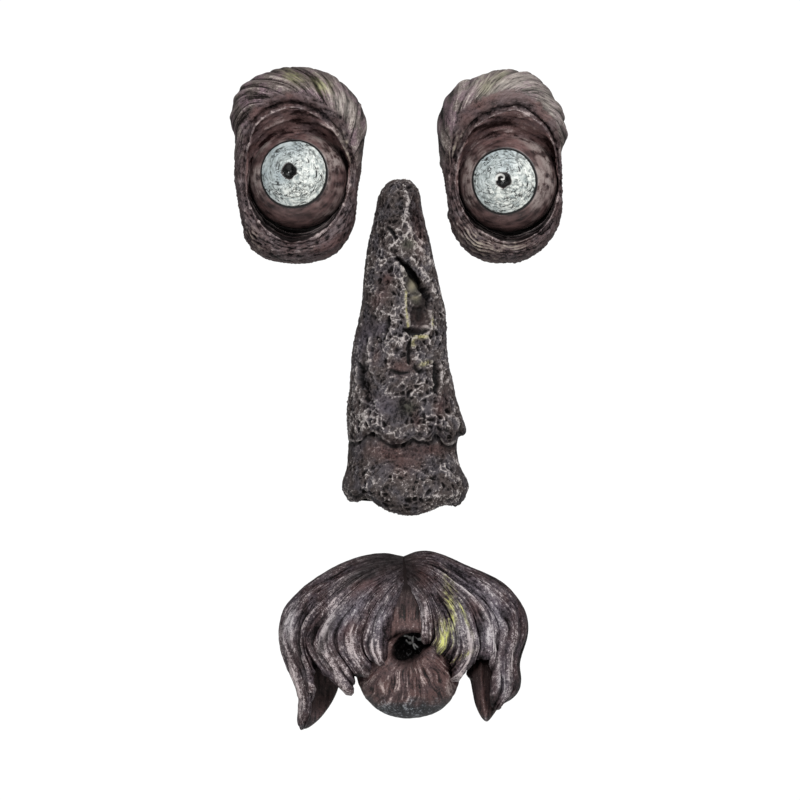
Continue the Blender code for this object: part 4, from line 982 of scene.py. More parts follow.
def nose_relief(front, section):
    """The carving of the bark, in millimetres square to its surface, and its paints."""
    x, z = front[..., 0], front[..., 2]
    depth = -front[..., 1]
    sleeve = rise(-47.2, -45.2, section[:, :1] + 0 * x)
    tip = 1 - sleeve
    band = tip * bell(z + 50.0, 5.5)
    tints = {title: spotted(x, z, spots) for title, spots in NOSE_TINTS.items()}
    dim = tints.pop("dim")
    bend = ripple(front / 5.0, 60)[..., None] * 0.45 + ripple(front / 2.2, 61)[..., None] * 0.22
    _, gap, own = flakes(front / BARK_CELL + bend, 62)
    _, wide_gap, wide_own = flakes(front / 8.0 + 1.3 * bend, 63)
    small_bend = 0.4 * ripple(front / 1.1, 74)[..., None]
    small_near, small_gap, small_own = flakes(front / 1.35 + bend + small_bend, 64)
    small_ridge = bell(small_gap, 0.13)
    smooth = tints["red"] * 0.5 + tints["wood"] + 0.7 * tints["deep"] + band * 0.4 + 0.3 * tints["lilac"]
    smooth = np.clip(smooth + 0.4 * dim, 0, 1)
    ridge = bell(gap, 0.09 - 0.02 * tip)
    ridge = ridge * (0.5 + 0.5 * rise(-0.4, 0.5, ripple(front / 4.0, 65)))
    bowl = rise(0.05, 0.5, gap) * (0.35 + 0.9 * own)
    relief = (0.5 * ridge - 0.55 * bowl * (1 - 0.4 * tip)) * (1 - 0.8 * smooth)
    wide_ridge = bell(wide_gap, 0.07) * rise(-0.3, 0.4, ripple(front / 9.0, 66)) * sleeve
    relief += 0.75 * wide_ridge * (1 - 0.6 * smooth)
    relief += 0.8 * (wide_own - 0.5) * rise(0.0, 0.25, wide_gap) * (1 - band)
    speck = (1 - rise(0.1, 0.42, small_near)) * (small_own > 0.68)
    relief += (0.22 * small_ridge - 0.45 * speck) * (1 - 0.75 * smooth)
    relief += 0.35 * ripples(front / 3.4, 3, 67) + 0.5 * band * ripples(front / 2.2, 3, 77)
    dark, edged = np.zeros(x.shape), np.zeros(x.shape)
    wobble = 0.45 * ripple(front / 2.0, 68) + 0.25 * ripple(front / 0.9, 69)
    for half, cut, line in NOSE_CRACKS:
        away, along, length = to_line(x, z, line)
        open_half = half * pinched(along, length) * 1.15
        inside = 1 - rise(0.55, 1.25, (away + wobble * 0.6) / open_half)
        relief = relief * (1 - inside) - cut * pinched(along, length) * inside
        dark = np.maximum(dark, inside)
    for half, height, line in NOSE_EDGES:
        away, along, length = to_line(x, z, line)
        crest = bell(away + wobble * 0.8, half * (0.7 + 0.5 * pinched(along, length)))
        crest = crest * (1 - dark) * (0.75 + 0.25 * ripple(front / 2.6, 70))
        relief += height * crest
        edged = np.maximum(edged, crest)
    near_rim = sleeve * bell(section[:, :1] + 44.6, 1.6)
    rim_line = bell(section[:, :1] + 45.3 + 0.3 * ripple(front / 3.0, 76), 0.55)
    rim_line *= 0.75 + 0.25 * ripple(front / 2.6, 71)
    relief = relief * (1 - 0.6 * near_rim) + 0.3 * rim_line
    edged = edged * (1 - 0.5 * near_rim)
    shadow = tip * bell(section[:, :1] + 47.0, 1.1)
    relief = relief * rise(0.0, 2.5, depth) * (0.45 + 0.55 * rise(4.0, 14.0, depth))
    accent = rise(-0.5, 0.6, ripple(front / 6.0, 72))
    raised = 0.36 + 0.26 * np.minimum(relief, 0.8) * (1 - dark) + 0.2 * edged
    raised += (0.22 + 0.24 * accent + 0.06 * tip) * ridge * (1 - smooth)
    raised += (0.05 + 0.2 * rise(-0.2, 0.7, ripple(front / 5.0, 75))) * small_ridge * (1 - 0.7 * smooth)
    raised += 0.2 * wide_ridge * accent + 0.5 * rim_line - 0.16 * near_rim - 0.24 * bowl * (1 - smooth) * own
    raised = np.clip(raised - 0.14 * dim * (1 - edged), 0, 1)
    # Pit: black in cracks, specks and cell hollows, and painted shadow under the sleeve's rim.
    pit = dark + speck * (1 - smooth) * (0.6 - 0.3 * tip) + 0.75 * shadow
    pit += (0.3 - 0.2 * tip) * bowl * (own > 0.86) * (1 - smooth)
    pit = np.clip(pit + 0.2 * dim * (1 - edged), 0, 1)
    return relief, {"raised": raised, "pit": pit, **tints}


def netted(tree, scale, width):
    """Thin lines round cells of noise-bent Voronoi noise, scale to the metre: 1 on a line, 0 off it."""
    place = tree.nodes.new("ShaderNodeTexCoord").outputs["Object"]
    bent = tree.nodes.new("ShaderNodeVectorMath")
    bent.operation = "MULTIPLY_ADD"
    tree.links.new(noise(tree, place, scale * 0.9, 2.0).outputs["Color"], bent.inputs[0])
    bent.inputs[1].default_value = (1.3 / scale, 1.3 / scale, 1.3 / scale)
    tree.links.new(place, bent.inputs[2])
    cells = tree.nodes.new("ShaderNodeTexVoronoi")
    cells.feature = "DISTANCE_TO_EDGE"
    cells.inputs["Scale"].default_value = scale
    tree.links.new(bent.outputs["Vector"], cells.inputs["Vector"])
    return clamped(tree, cells.outputs["Distance"], -1 / width, 1.0)


def bark_paint():
    """Black in the bark's pits and painted shadow, grey-brown over it, pale grey dragged over its ridges."""
    material, tree, shader = painted("bark paint")
    patchy = clamped(tree, speckle(tree, 210.0, 3.0), 5.0, -2.2)
    lines = multiplied(tree, netted(tree, 430.0, 0.09), patchy)
    raised = added(tree, measured(tree, "raised"), lines, 0.3, -0.02)
    bark = brush_over(tree, raised, (11, 9, 9), (74, 65, 63), (76, 71, 75), (184, 176, 173), 0.85, 0.6, 0.94)
    skin = brush_over(tree, raised, (24, 15, 15), (82, 60, 58), (72, 55, 54), (158, 140, 136), 1.25, 0.6, 1.0)
    wood = brush_over(tree, raised, (22, 21, 18), (72, 71, 61), (60, 55, 49), (140, 138, 120), 0.5)
    lilac = clamped(tree, measured(tree, "lilac"), 0.6, 0.0)
    brushed = clamped(tree, speckle(tree, 700.0, 4.0), 5.0, -1.7)
    touched = multiplied(tree, measured(tree, "moss"), clamped(tree, raised, 2.4, -0.75))
    # Painted shade for the cavity by the split: near black, browner where the bark is raised.
    sunk = blend(tree, clamped(tree, raised, 2.0, -0.6), tone(9, 5, 5), tone(42, 24, 20))
    colour = coated(
        tree, bark["Color"],
        (clamped(tree, measured(tree, "red"), 0.9, 0.0), skin["Color"]),
        (measured(tree, "wood"), wood["Color"]),
        (clamped(tree, measured(tree, "bare"), 0.8, 0.0), tone(138, 130, 110)),
        (multiplied(tree, lilac, clamped(tree, raised, 1.6, 0.1)), tone(92, 86, 98)),
        (multiplied(tree, touched, brushed), tone(182, 176, 110)),
        (measured(tree, "deep"), sunk),
        (measured(tree, "pit"), tone(10, 8, 8)),
    )
    sheen(tree, shader, clamped(tree, raised, -2.2, 1.2))
    laid_on(tree, shader, colour, bark["Roughness"], bark["Height"], 0.0004)
    return material


def quilted(name, front, measures, slot, fitted):
    """A closed surface: a front grid whose edges all lie on the back plane, and a flat back row by
    row between its left and right edges, sunk where the screw slot is. slot is its middle."""
    rows, columns = front.shape[:2]
    left, right = front[:, 0, 0], front[:, -1, 0]
    z = front[:, 0, 2] + (front[:, -1, 2] - front[:, 0, 2]) * 0.5
    wide = slot[0] + SLOT_HALF[0]
    beside = np.array([wide, wide + 0.15, wide * 1.6, wide * 2.2])
    fixed = np.concatenate([-beside[::-1], beside])
    share = (fixed - left[rows // 3]) / (right[rows // 3] - left[rows // 3])
    share = np.clip(share, 0.04, 0.96) + np.arange(len(fixed)) * 1e-4
    by_share = left[:, None] + (right - left)[:, None] * share
    near_slot = (1 - rise(12.0, 20.0, np.abs(z - slot[1])))[:, None]
    x = by_share * (1 - near_slot) + fixed * near_slot
    part = (x - left[:, None]) / np.maximum(right - left, 1e-6)[:, None]
    back_z = front[:, :1, 2] * (1 - part) + front[:, -1:, 2] * part
    sunk = (np.abs(x - slot[0]) < SLOT_HALF[0] + 0.01) & (np.abs(back_z - slot[1]) < SLOT_HALF[1])
    back = placed(x, np.where(sunk, -SLOT_DEPTH, 0.0), back_z)
    inner = back.shape[1]
    number = np.arange(rows * columns).reshape(rows, columns)
    behind = rows * columns + np.arange(rows * inner).reshape(rows, inner)
    behind = np.concatenate([number[:, :1], behind, number[:, -1:]], axis=1)
    quads = [
        np.stack([n[:-1, :-1], n[:-1, 1:], n[1:, 1:], n[1:, :-1]], axis=-1).reshape(-1, 4)
        for n in (number, behind[:, ::-1])
    ]
    ends = [front[0].mean(axis=0), front[-1].mean(axis=0)]
    vertices = np.concatenate([front.reshape(-1, 3), back.reshape(-1, 3), ends])
    fans = []
    for end in (0, -1):
        loop = np.concatenate([number[end, :-1], behind[end, :0:-1]])
        centre = np.full(len(loop), len(vertices) - 1 if end else len(vertices) - 2)
        fan = np.stack([loop, np.roll(loop, -1), centre], axis=-1)
        fans.append(fan if end else fan[:, ::-1])
    stretch, moved = fitted
    values = {
        title: np.concatenate([value.ravel(), np.full(rows * inner, 0.35 * (title == "raised")), [0.3, 0.3]])
        for title, value in measures.items()
    }
    return surface(name, vertices * stretch + moved, np.concatenate(quads), np.concatenate(fans), values)


front, section = nose_front()
relief, measures = nose_relief(front, section)
carved = front + grid_normals(front, closed=False) * relief[..., None]
carved[..., 1] = np.minimum(carved[..., 1], 0)
carved[:, [0, -1]] = front[:, [0, -1]]
carved[[0, -1]] = front[[0, -1]]
bark = quilted("bark_nose", carved, measures, NOSE_SLOT, fit(carved, "nose"))
bark.data.materials.append(bark_paint())
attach(bark, "root")
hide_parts("nose")

# The moustache: two heavy sweeps of combed hair that part over the mouth and hang at both ends.
# It is part of the mouth's casting, thick resin over a flat back. Its strands were cut in the
# master with a comb-like tool, and grey and lilac paint is dragged over them.

# Lines of hair from the parting to their tips, outermost first, in millimetres round the mouth.
LEFT_HAIR = [
    [(-0.1, 38.0), (-8.5, 39.5), (-17.5, 38.5), (-25.4, 36.0), (-33.9, 31.5), (-42.3, 25.9), (-49.0, 19.7),
     (-53.8, 13.3), (-56.0, 4.5), (-55.6, -3.4), (-53.0, -11.2), (-49.3, -20.2), (-46.8, -27.0),
     (-47.4, -33.8), (-47.6, -38.8), (-46.1, -41.3)],
    [(-0.1, 37.1), (-9.7, 37.4), (-18.7, 35.8), (-27.7, 32.1), (-36.7, 26.4), (-44.5, 19.7),
     (-50.2, 12.4), (-52.6, 4.5), (-51.9, -3.4), (-49.0, -11.2), (-45.9, -19.1), (-43.6, -27.0),
     (-44.0, -33.8), (-45.3, -41.1)],
    [(-0.1, 36.2), (-9.7, 35.3), (-18.7, 32.6), (-27.7, 28.1), (-36.1, 21.4), (-43.4, 14.6),
     (-47.4, 6.8), (-47.7, -1.1), (-45.6, -7.9), (-43.2, -14.6), (-41.9, -21.4), (-41.2, -28.1),
     (-41.8, -34.9), (-44.4, -40.8)],
    [(-0.1, 35.8), (-9.7, 34.2), (-18.7, 31.0), (-27.1, 26.1), (-35.0, 19.7), (-41.4, 12.6), (-45.2, 5.1),
     (-45.7, -2.2), (-43.9, -8.4), (-41.8, -13.8), (-40.4, -18.6)],
    [(-0.1, 35.3), (-9.7, 33.2), (-18.7, 29.5), (-26.5, 24.2), (-34.4, 17.4), (-40.0, 10.7), (-43.2, 3.4),
     (-43.6, -3.4), (-41.7, -8.4), (-39.1, -12.6)],
    [(-0.1, 34.3), (-8.5, 30.9), (-16.4, 27.0), (-23.2, 21.4), (-29.9, 14.1), (-35.0, 6.8), (-37.2, -0.6),
     (-35.5, -6.8), (-31.6, -12.4), (-27.7, -18.0), (-24.0, -24.1)],
    [(-0.1, 33.2), (-8.0, 28.7), (-14.7, 24.2), (-20.9, 18.0), (-26.0, 10.7), (-29.4, 3.4), (-29.9, -3.4),
     (-26.6, -9.6), (-21.3, -17.6)],
    [(-0.1, 32.1), (-7.4, 26.4), (-13.0, 21.4), (-18.1, 14.6), (-21.5, 7.3), (-23.2, 1.1), (-22.6, -5.1),
     (-19.8, -10.1), (-16.2, -15.3)],
    [(-0.1, 30.9), (-6.3, 24.2), (-10.8, 18.6), (-14.7, 12.4), (-17.5, 5.6), (-18.7, -0.6), (-17.3, -6.2),
     (-14.2, -10.4)],
    [(-0.1, 28.6), (-4.6, 22.3), (-7.9, 16.3), (-11.4, 10.1), (-13.0, 3.4), (-13.3, -2.8),
     (-11.7, -7.9), (-9.0, -11.1)],
    [(0.4, 24.6), (-1.4, 20.4), (-3.1, 15.0), (-4.6, 9.0), (-5.6, 3.4), (-6.1, -2.2), (-6.5, -6.2),
     (-7.2, -9.2)],
]
RIGHT_HAIR = [
    [(-0.1, 38.0), (6.1, 40.3), (12.3, 40.3), (19.6, 38.0), (27.5, 34.3), (36.5, 30.4), (44.3, 25.9),
     (50.5, 19.3), (54.5, 12.4), (55.8, 5.1), (54.9, -1.7), (53.1, -7.3), (52.2, -12.4), (52.9, -19.1),
     (52.0, -24.2), (48.8, -27.9), (44.9, -30.2)],
    [(0.1, 37.1), (7.2, 38.2), (14.0, 37.4), (21.8, 33.8), (30.8, 29.2), (38.7, 23.6), (44.9, 17.4),
     (48.3, 10.7), (49.4, 3.9), (48.3, -2.2), (47.1, -7.9), (47.1, -13.5), (47.7, -19.1),
     (46.0, -24.8), (42.1, -30.9)],
    [(0.3, 36.2), (7.8, 36.2), (14.5, 34.3), (22.4, 29.8), (30.8, 23.6), (37.0, 17.4), (41.0, 10.7),
     (42.6, 3.9), (42.1, -2.2), (41.0, -7.9), (41.9, -13.5), (43.8, -19.1), (43.4, -24.8),
     (39.4, -33.8)],
    [(0.4, 35.7), (8.1, 34.7), (15.1, 31.7), (22.4, 26.7), (30.3, 20.3), (35.9, 13.3), (38.9, 6.2),
     (39.8, -1.1), (39.6, -8.4)],
    [(0.7, 35.0), (8.3, 33.0), (14.5, 29.5), (21.3, 24.2), (27.5, 18.0), (31.7, 10.7), (33.6, 3.9),
     (34.2, -2.2), (33.3, -6.8), (31.7, -9.9)],
    [(0.8, 34.4), (8.3, 31.7), (14.0, 27.6), (19.6, 21.4), (24.6, 14.6), (28.0, 7.3), (29.5, 0.0),
     (29.5, -5.6), (27.2, -11.5), (23.0, -17.3)],
    [(1.0, 33.3), (8.3, 29.2), (13.1, 24.2), (17.3, 18.0), (20.7, 11.2), (23.0, 4.5), (23.9, -1.1),
     (23.2, -5.6), (20.5, -10.4)],
    [(1.2, 32.2), (8.1, 27.0), (12.3, 21.4), (15.3, 14.6), (17.6, 7.9), (18.7, 2.2), (18.5, -2.2),
     (16.7, -6.3)],
    [(1.2, 29.6), (6.6, 24.2), (10.4, 18.6), (12.3, 12.4), (13.5, 6.8), (13.7, 1.7), (12.6, -1.8)],
    [(1.0, 25.6), (4.0, 21.4), (6.2, 16.4), (7.8, 11.2), (8.7, 5.6), (9.0, 1.1), (9.7, -0.7)],
]
HAIR_ROWS = 236
HAIR_COLUMNS = 200
MOUTH_SLOT = (0.0, 20.0)
# Places for each paint: the yellow-green lock, reddish brown and lilac hair, and shaded hair.
HAIR_TINTS = {
    "moss": [
        ((20.4, 16.0), (11.0, 1.8), 95), ((18.2, 2.0), (8.5, 3.2), 78), ((26.0, 14.0), (8.0, 0.8), 110),
        ((24.0, -8.5), (5.0, 0.8), 30), ((18.5, -6.0), (3.4, 1.2), -70),
    ],
    "red": [
        ((32.0, 14.0), (8.0, 2.6), -75), ((-17.0, 25.0), (9.0, 4.0), 35), ((-25.0, 6.0), (7.0, 3.0), 60),
        ((7.0, 30.0), (6.0, 3.0), -60),
    ],
    "lilac": [
        ((36.5, 2.0), (9.0, 5.0), -70), ((-30.0, 8.0), (9.0, 4.0), 60), ((41.5, 12.0), (9.0, 3.5), -75),
        ((-50.0, 8.0), (10.0, 3.0), 80), ((30.0, 24.0), (10.0, 4.0), -40), ((26.0, 12.0), (9.0, 3.0), -75),
        ((22.5, 3.0), (7.0, 3.0), -80), ((-11.0, 9.0), (9.0, 3.0), 72), ((5.0, 17.0), (8.0, 2.0), -72),
        ((-20.0, 16.0), (9.0, 3.0), 55), ((44.0, -20.0), (8.0, 2.4), -85),
    ],
    "shade": [
        ((-10.0, 35.0), (15.0, 6.0), 8), ((-20.0, 29.0), (12.0, 2.4), 30), ((3.0, 29.0), (6.0, 7.0), 0),
        ((-34.0, 2.0), (12.0, 1.6), 65), ((-46.0, -4.0), (10.0, 1.5), -80),
    ],
}


def moustache_depth(x, z):
    """How far the moustache stands off the trunk: a dome that is steep above and full below."""
    up = z - 10.0
    fall = np.where(up > 0, np.abs(up) / 31.0, np.abs(up) / 95.0)
    return 30.5 * np.clip(1 - np.abs(x / 59.0) ** 2.4 - fall**2.4, 0.02, 1) ** (1 / 2.4)


def evenly(line, count):
    """Points spaced evenly along a smooth line."""
    dense = smooth_line(line, 40 * len(line))
    walked = np.concatenate([[0], np.cumsum(np.hypot(*np.diff(dense, axis=0).T))])
    even = np.linspace(0, walked[-1], count)
    return np.stack([np.interp(even, walked, dense[:, k]) for k in range(2)], axis=1), walked[-1]


def sampled(grid, row, column):
    """A grid's values at places between its rows and columns, blended from the four nearest."""
    r = np.clip(row, 0, grid.shape[0] - 1.001)
    c = np.clip(column, 0, grid.shape[1] - 1.001)
    i, j = r.astype(int), c.astype(int)
    shape = r.shape + (1,) * (grid.ndim - 2)
    f, g = (r - i).reshape(shape), (c - j).reshape(shape)
    near = grid[i, j] * (1 - g) + grid[i, j + 1] * g
    far = grid[i + 1, j] * (1 - g) + grid[i + 1, j + 1] * g
    return near * (1 - f) + far * f


def hair_sweep(lines, seed):
    """One side of the moustache as a grid: each row follows the hair from the parting to a tip,
    between the drawn lines. Its depth is the moustache's, rounded at the outline and at the tips,
    with grooves between locks and strands. Gives the grid and what its paint needs."""
    laid = [evenly(line, HAIR_COLUMNS) for line in lines]
    paths = np.array([path for path, _ in laid])
    lengths = np.array([length for _, length in laid])
    place = np.linspace(0, len(lines) - 1, HAIR_ROWS)
    i = np.minimum(place.astype(int), len(lines) - 2)
    f = place - i
    f = 0.4 * f + 0.6 * rise(0, 1, f)
    flat = paths[i] * (1 - f)[:, None, None] + paths[i + 1] * f[:, None, None]
    x, z = flat[..., 0], flat[..., 1]
    length = (lengths[i] * (1 - f) + lengths[i + 1] * f)[:, None]
    share = np.linspace(0, 1, HAIR_COLUMNS)[None, :]
    along = share * length
    from_edge = np.hypot(x - x[:1], z - z[:1])
    wide = 5.0 + 9.0 * rise(-30, -2, z)
    outer = np.sqrt(1 - (1 - np.clip(from_edge / wide, 0, 1)) ** 2)
    from_valley = np.hypot(x - x[-1:], z - z[-1:])
    inner = np.sqrt(1 - (1 - np.clip(from_valley / 4.0, 0, 1)) ** 2)
    to_tip = (1 - share) * length
    round_tip = np.sqrt(1 - (1 - np.clip(to_tip / 3.2, 0, 1)) ** 2)
    depth = moustache_depth(x, z) * (0.36 + 0.64 * outer) * (0.8 + 0.2 * round_tip) * (0.88 + 0.12 * inner)
    depth -= 6.0 * rise(-15, -38, z)
    across = place[:, None] + 0.2 * ripple(placed(place[:, None] * 0.7, along / 15.0, 0), seed)
    across = across + 0.06 * ripple(placed(place[:, None] * 2, along / 6.0, 0), seed + 1)
    lock = np.abs(2 * ((across / 2) % 1) - 1)
    part = np.abs(2 * ((across + 0.5) % 1) - 1)
    own = ripple(placed(np.round(across + 0.5) * 3.7, along / 30.0, 0), seed + 3)
    tuft = ripple(placed(across * 1.6, along / 13.0, 0), seed + 5)
    strand = ripple(placed(across * 4.2, along / 11.0, 0), seed + 6)
    thread = ripple(placed(across * 9.5, along / 6.0, 0), seed + 2)
    rough = ripples(placed(x, -depth, z) / 1.7, 2, seed + 7)
    strength = rise(0.02, 0.3, share)
    parted = rise(0.3, 0.9, share)
    uneven = 0.65 + 0.35 * ripple(placed(across * 0.8, along / 9.0, 0), seed + 8)
    relief = -2.6 * lock**4 * parted * uneven - (0.35 + 0.5 * parted) * part**6 * uneven
    relief += 0.8 * own * strength
    relief += (0.42 * strand + 0.26 * thread + 0.5 * tuft) * strength + 0.22 * rough
    relief += ((1 - lock) ** 0.5 * 0.9 + 0.6 * (1 - part**2)) * parted
    front = placed(x, -depth, z)
    relief = relief * rise(0, 2.5, from_edge + 0.8)
    normals = grid_normals(front, closed=False)
    carved = front - normals * np.sign(normals[..., 1].mean()) * relief[..., None]
    carved[..., 1] = np.minimum(carved[..., 1], -1.0)
    hanging = rise(-8, -30, z)
    tapered = 1 - rise(0.0, 7.0, to_tip)
    raised = 0.42 + (0.28 - 0.08 * hanging) * relief + 0.14 * thread - 0.05 * hanging - 0.22 * tapered
    folds = (lock**9 * parted + part**11 * 0.8 * parted) * uneven
    folds = np.clip(folds + 0.5 * rise(0.3, 0.75, -strand - 0.3 * thread) * strength, 0, 1)
    tints = {title: spotted(x, z, spots) for title, spots in HAIR_TINTS.items()}
    raised = np.clip(raised + 0.12 * tints["lilac"], 0, 1)
    return carved, {"raised": raised, "pit": folds, "across": across, "along": along / 10.0, **tints}


def slab(name, front, measures, back_of, fitted):
    """A closed surface: a front grid, walls round its four edges down to its back, and the back
    as rings of those edges that shrink inside the grid. back_of gives the back's place at x and z."""
    rows, columns = front.shape[:2]
    number = np.arange(rows * columns).reshape(rows, columns)
    corners = [number[:-1, :-1], number[:-1, 1:], number[1:, 1:], number[1:, :-1]]
    quads = [np.stack(corners, axis=-1).reshape(-1, 4)]
    last_row, last_column = rows - 1, columns - 1
    loop_row = np.concatenate([
        np.zeros(last_column), np.arange(last_row),
        np.full(last_column, last_row), np.arange(last_row, 0, -1),
    ])
    loop_column = np.concatenate([
        np.arange(last_column), np.full(last_row, last_column),
        np.arange(last_column, 0, -1), np.zeros(last_row),
    ])
    loop = number[loop_row.astype(int), loop_column.astype(int)]
    vertices, values = [front.reshape(-1, 3)], {title: [value.ravel()] for title, value in measures.items()}
    edge = front[loop_row.astype(int), loop_column.astype(int)]
    last, total = loop, rows * columns
    for shrink, sunk in (
        (0.004, 0.12), (0.008, 0.3), (0.012, 0.5), (0.016, 0.7), (0.02, 0.87), (0.026, 1.0),
        (0.12, 1.0), (0.3, 1.0), (0.5, 1.0), (0.7, 1.0), (0.9, 1.0),
    ):
        row = loop_row + (rows / 2 - loop_row) * shrink
        column = loop_column + (columns / 2 - loop_column) * shrink
        ring = sampled(front, row, column)
        back = back_of(ring[:, 0], ring[:, 2])
        ring[:, 1] = edge[:, 1] * (1 - sunk) + back * sunk
        here = total + np.arange(len(loop))
        quads.append(np.stack([last, np.roll(last, -1), np.roll(here, -1), here], axis=-1)[:, ::-1])
        vertices.append(ring)
        for title, value in measures.items():
            kept = sampled(value, row, column)
            plain = kept * 0 + 0.5 * (title == "raised")
            values[title].append(kept if sunk < 1 or title in ("across", "along") else plain)
        last, total = here, total + len(loop)
    vertices.append(vertices[-1].mean(axis=0, keepdims=True))
    for title in measures:
        values[title].append([values[title][-1].mean()])
    triangles = np.stack([np.roll(last, -1), last, np.full(len(last), total)], axis=-1)
    stretch, moved = fitted
    points = np.concatenate(vertices) * stretch + moved
    kept = {title: np.concatenate(value) for title, value in values.items()}
    return surface(name, points, np.concatenate(quads), triangles, kept)


def hair_paint():
    """Mauve-brown hair, dark between its locks, with grey dragged along the strands."""
    material, tree, shader = painted("hair paint")
    combing = streaks(tree, 11.0, 2.0)
    level = added(tree, measured(tree, "raised"), combing, 0.62, -0.31)
    level = added(tree, level, speckle(tree, 520.0, 4.0, 0.7), 0.7, -0.35)
    hair = brush_over(tree, level, (14, 10, 11), (66, 50, 52), (74, 64, 70), (180, 168, 168), 1.35, full=0.98)
    red = brush_over(
        tree, level, (24, 15, 15), (80, 54, 53), (70, 51, 52), (158, 136, 134), 0.75, 0.66, 1.08
    )
    lilac = brush_over(
        tree, level, (28, 25, 29), (100, 92, 100), (90, 84, 92), (186, 180, 182), 1.2, 0.54, 0.94
    )
    dim = blend(tree, clamped(tree, level, 1.6, -0.5), tone(15, 11, 11), tone(60, 50, 51))
    striped = multiplied(tree, clamped(tree, level, 2.6, -0.9), clamped(tree, combing, 6.0, -2.4))
    colour = coated(
        tree, hair["Color"],
        (measured(tree, "red"), red["Color"]),
        (measured(tree, "lilac"), lilac["Color"]),
        (clamped(tree, measured(tree, "shade"), 0.85, 0.0), dim),
        (multiplied(tree, measured(tree, "moss"), striped), tone(204, 206, 116)),
        (clamped(tree, measured(tree, "pit"), 0.9, 0.0), tone(10, 7, 7)),
    )
    sheen(tree, shader, clamped(tree, level, -2.2, 1.2))
    laid_on(tree, shader, colour, hair["Roughness"], combing, 0.0006)
    return material


def hair_back(x, z):
    """The flat back of the hair, kept off the slot in the middle of the casting."""
    return -12.0 * (1 - rise(7.0, 12.0, np.abs(x - MOUTH_SLOT[0]))) * (1 - rise(28.5, 32.0, z))


# The rest of the mouth: the hollow inner faces of the two hanging ends, the skin and the lips.
# They are one casting with the moustache. The inner faces are smooth and painted dark as shade,
# skin and lips are reddish brown, and the lips are creased outwards from the mouth's glossy black hole.

# Each inner face: its middle and its outline, in millimetres round the mouth, like all lines here.
INNER_FACES = {
    "left_end": ((-36.0, -24.0), [
        (-43.4, -10.1), (-44.4, -18.0), (-44.0, -24.8), (-43.6, -30.4), (-44.6, -36.0), (-45.6, -41.0),
        (-43.6, -41.5), (-40.6, -39.7), (-36.7, -36.0), (-32.7, -30.4), (-30.1, -25.2), (-29.0, -21.4),
        (-28.6, -16.9), (-29.9, -12.4), (-35.5, -9.0)]),
    "right_end": ((38.0, -22.0), [
        (28.0, -15.8), (29.7, -19.1), (30.8, -24.8), (32.0, -30.4), (34.4, -35.8), (36.7, -38.2),
        (38.4, -37.4), (41.0, -33.8), (44.0, -29.2), (46.0, -24.8), (45.3, -18.0), (43.1, -12.4),
        (38.7, -7.9), (32.0, -9.0)]),
}
SKIN_MIDDLE = (2.5, 16.0)
SKIN = [
    (-12, 12), (-11, 24), (-8, 33), (-4, 37), (0.5, 37.8), (5, 37.4), (10, 33), (13, 22), (13, 10), (12, 2.5),
    (8, 2.8), (2.5, 3.4), (-3, 2.6), (-8, 0),
]
HOLE_MIDDLE = (2.8, -3.4)
HOLE = [
    (-4.6, -5.6), (-3.4, -1.2), (0.5, 2.3), (5.0, 3.4), (9.5, 1.4), (12.3, -1.7), (8.3, -5.1), (4.4, -8.4),
    (0.5, -9.7), (-3.8, -8.4),
]
LIPS = [
    (-21.5, -15.8), (-19.2, -23), (-16.4, -28), (-11.9, -32.5), (-6.3, -35.4), (0.5, -36.8), (7.2, -36.2),
    (14, -34.2), (19.6, -30), (23.5, -23.6), (24.6, -18), (24.1, -11.3), (21, -4), (14, 2), (6, 5),
    (-4, 5), (-12, 2), (-18, -3), (-21.5, -9),
]
# Thin lines of light on the wet-looking gloss in the hole.
HOLE_GLINTS = [
    [(0.6, 1.4), (3.4, 0.6), (7.6, -0.2)], [(1.2, -0.7), (3.6, -1.6), (6.0, -3.6)],
    [(4.4, 1.4), (4.0, -1.4), (4.8, -4.2)], [(10.2, -0.4), (10.8, -0.9)],
]
LIP_COLUMNS = 250
LIP_ROWS = 150


def skin_paint():
    """Reddish brown skin, pinkish creases, blue-grey below, painted shade in hollows; gloss black in the
    hole.
    """
    material, tree, shader = painted("skin paint")
    carved = measured(tree, "raised")
    creased = added(tree, carved, streaks(tree, 1.6, 1.3), 1.2, -0.6)
    dusty = added(tree, carved, speckle(tree, 900.0, 3.0), 1.5, -0.8)
    skin = brush_over(
        tree, creased, (20, 13, 13), (90, 66, 64), (78, 60, 61), (176, 158, 154), 0.95, 0.57, 0.96
    )
    cold = brush_over(tree, dusty, (10, 10, 13), (44, 45, 50), (32, 33, 38), (156, 160, 166), 1.2, 0.52, 0.9)
    dark, hole = measured(tree, "dark"), measured(tree, "hole")
    colour = coated(
        tree, skin["Color"],
        (measured(tree, "cold"), cold["Color"]),
        (dark, tone(30, 24, 24)),
        (hole, tone(9, 8, 8)),
        (measured(tree, "glint"), tone(250, 250, 248)),
    )
    sheen(tree, shader, clamped(tree, dark, 1.0, 0.0))
    laid_on(tree, shader, colour, blend_number(tree, hole, 0.55, 0.06), skin["Height"], 0.0002)
    return material


def domed(outline, middle, profile, rows, columns):
    """Rings from a middle out to a drawn outline. The profile pairs how far out a ring lies with
    its depth, and smooth curves run between."""
    angles = np.linspace(0, 2 * np.pi, columns, endpoint=False)
    out = reach(np.array(outline, float) - middle, angles)
    share, depth = smooth_line(np.array(profile, float), rows).T
    x = middle[0] + share[:, None] * out * np.cos(angles)
    z = middle[1] + share[:, None] * out * np.sin(angles)
    return x, z, depth[:, None] + 0 * x, share[:, None] + 0 * x, angles


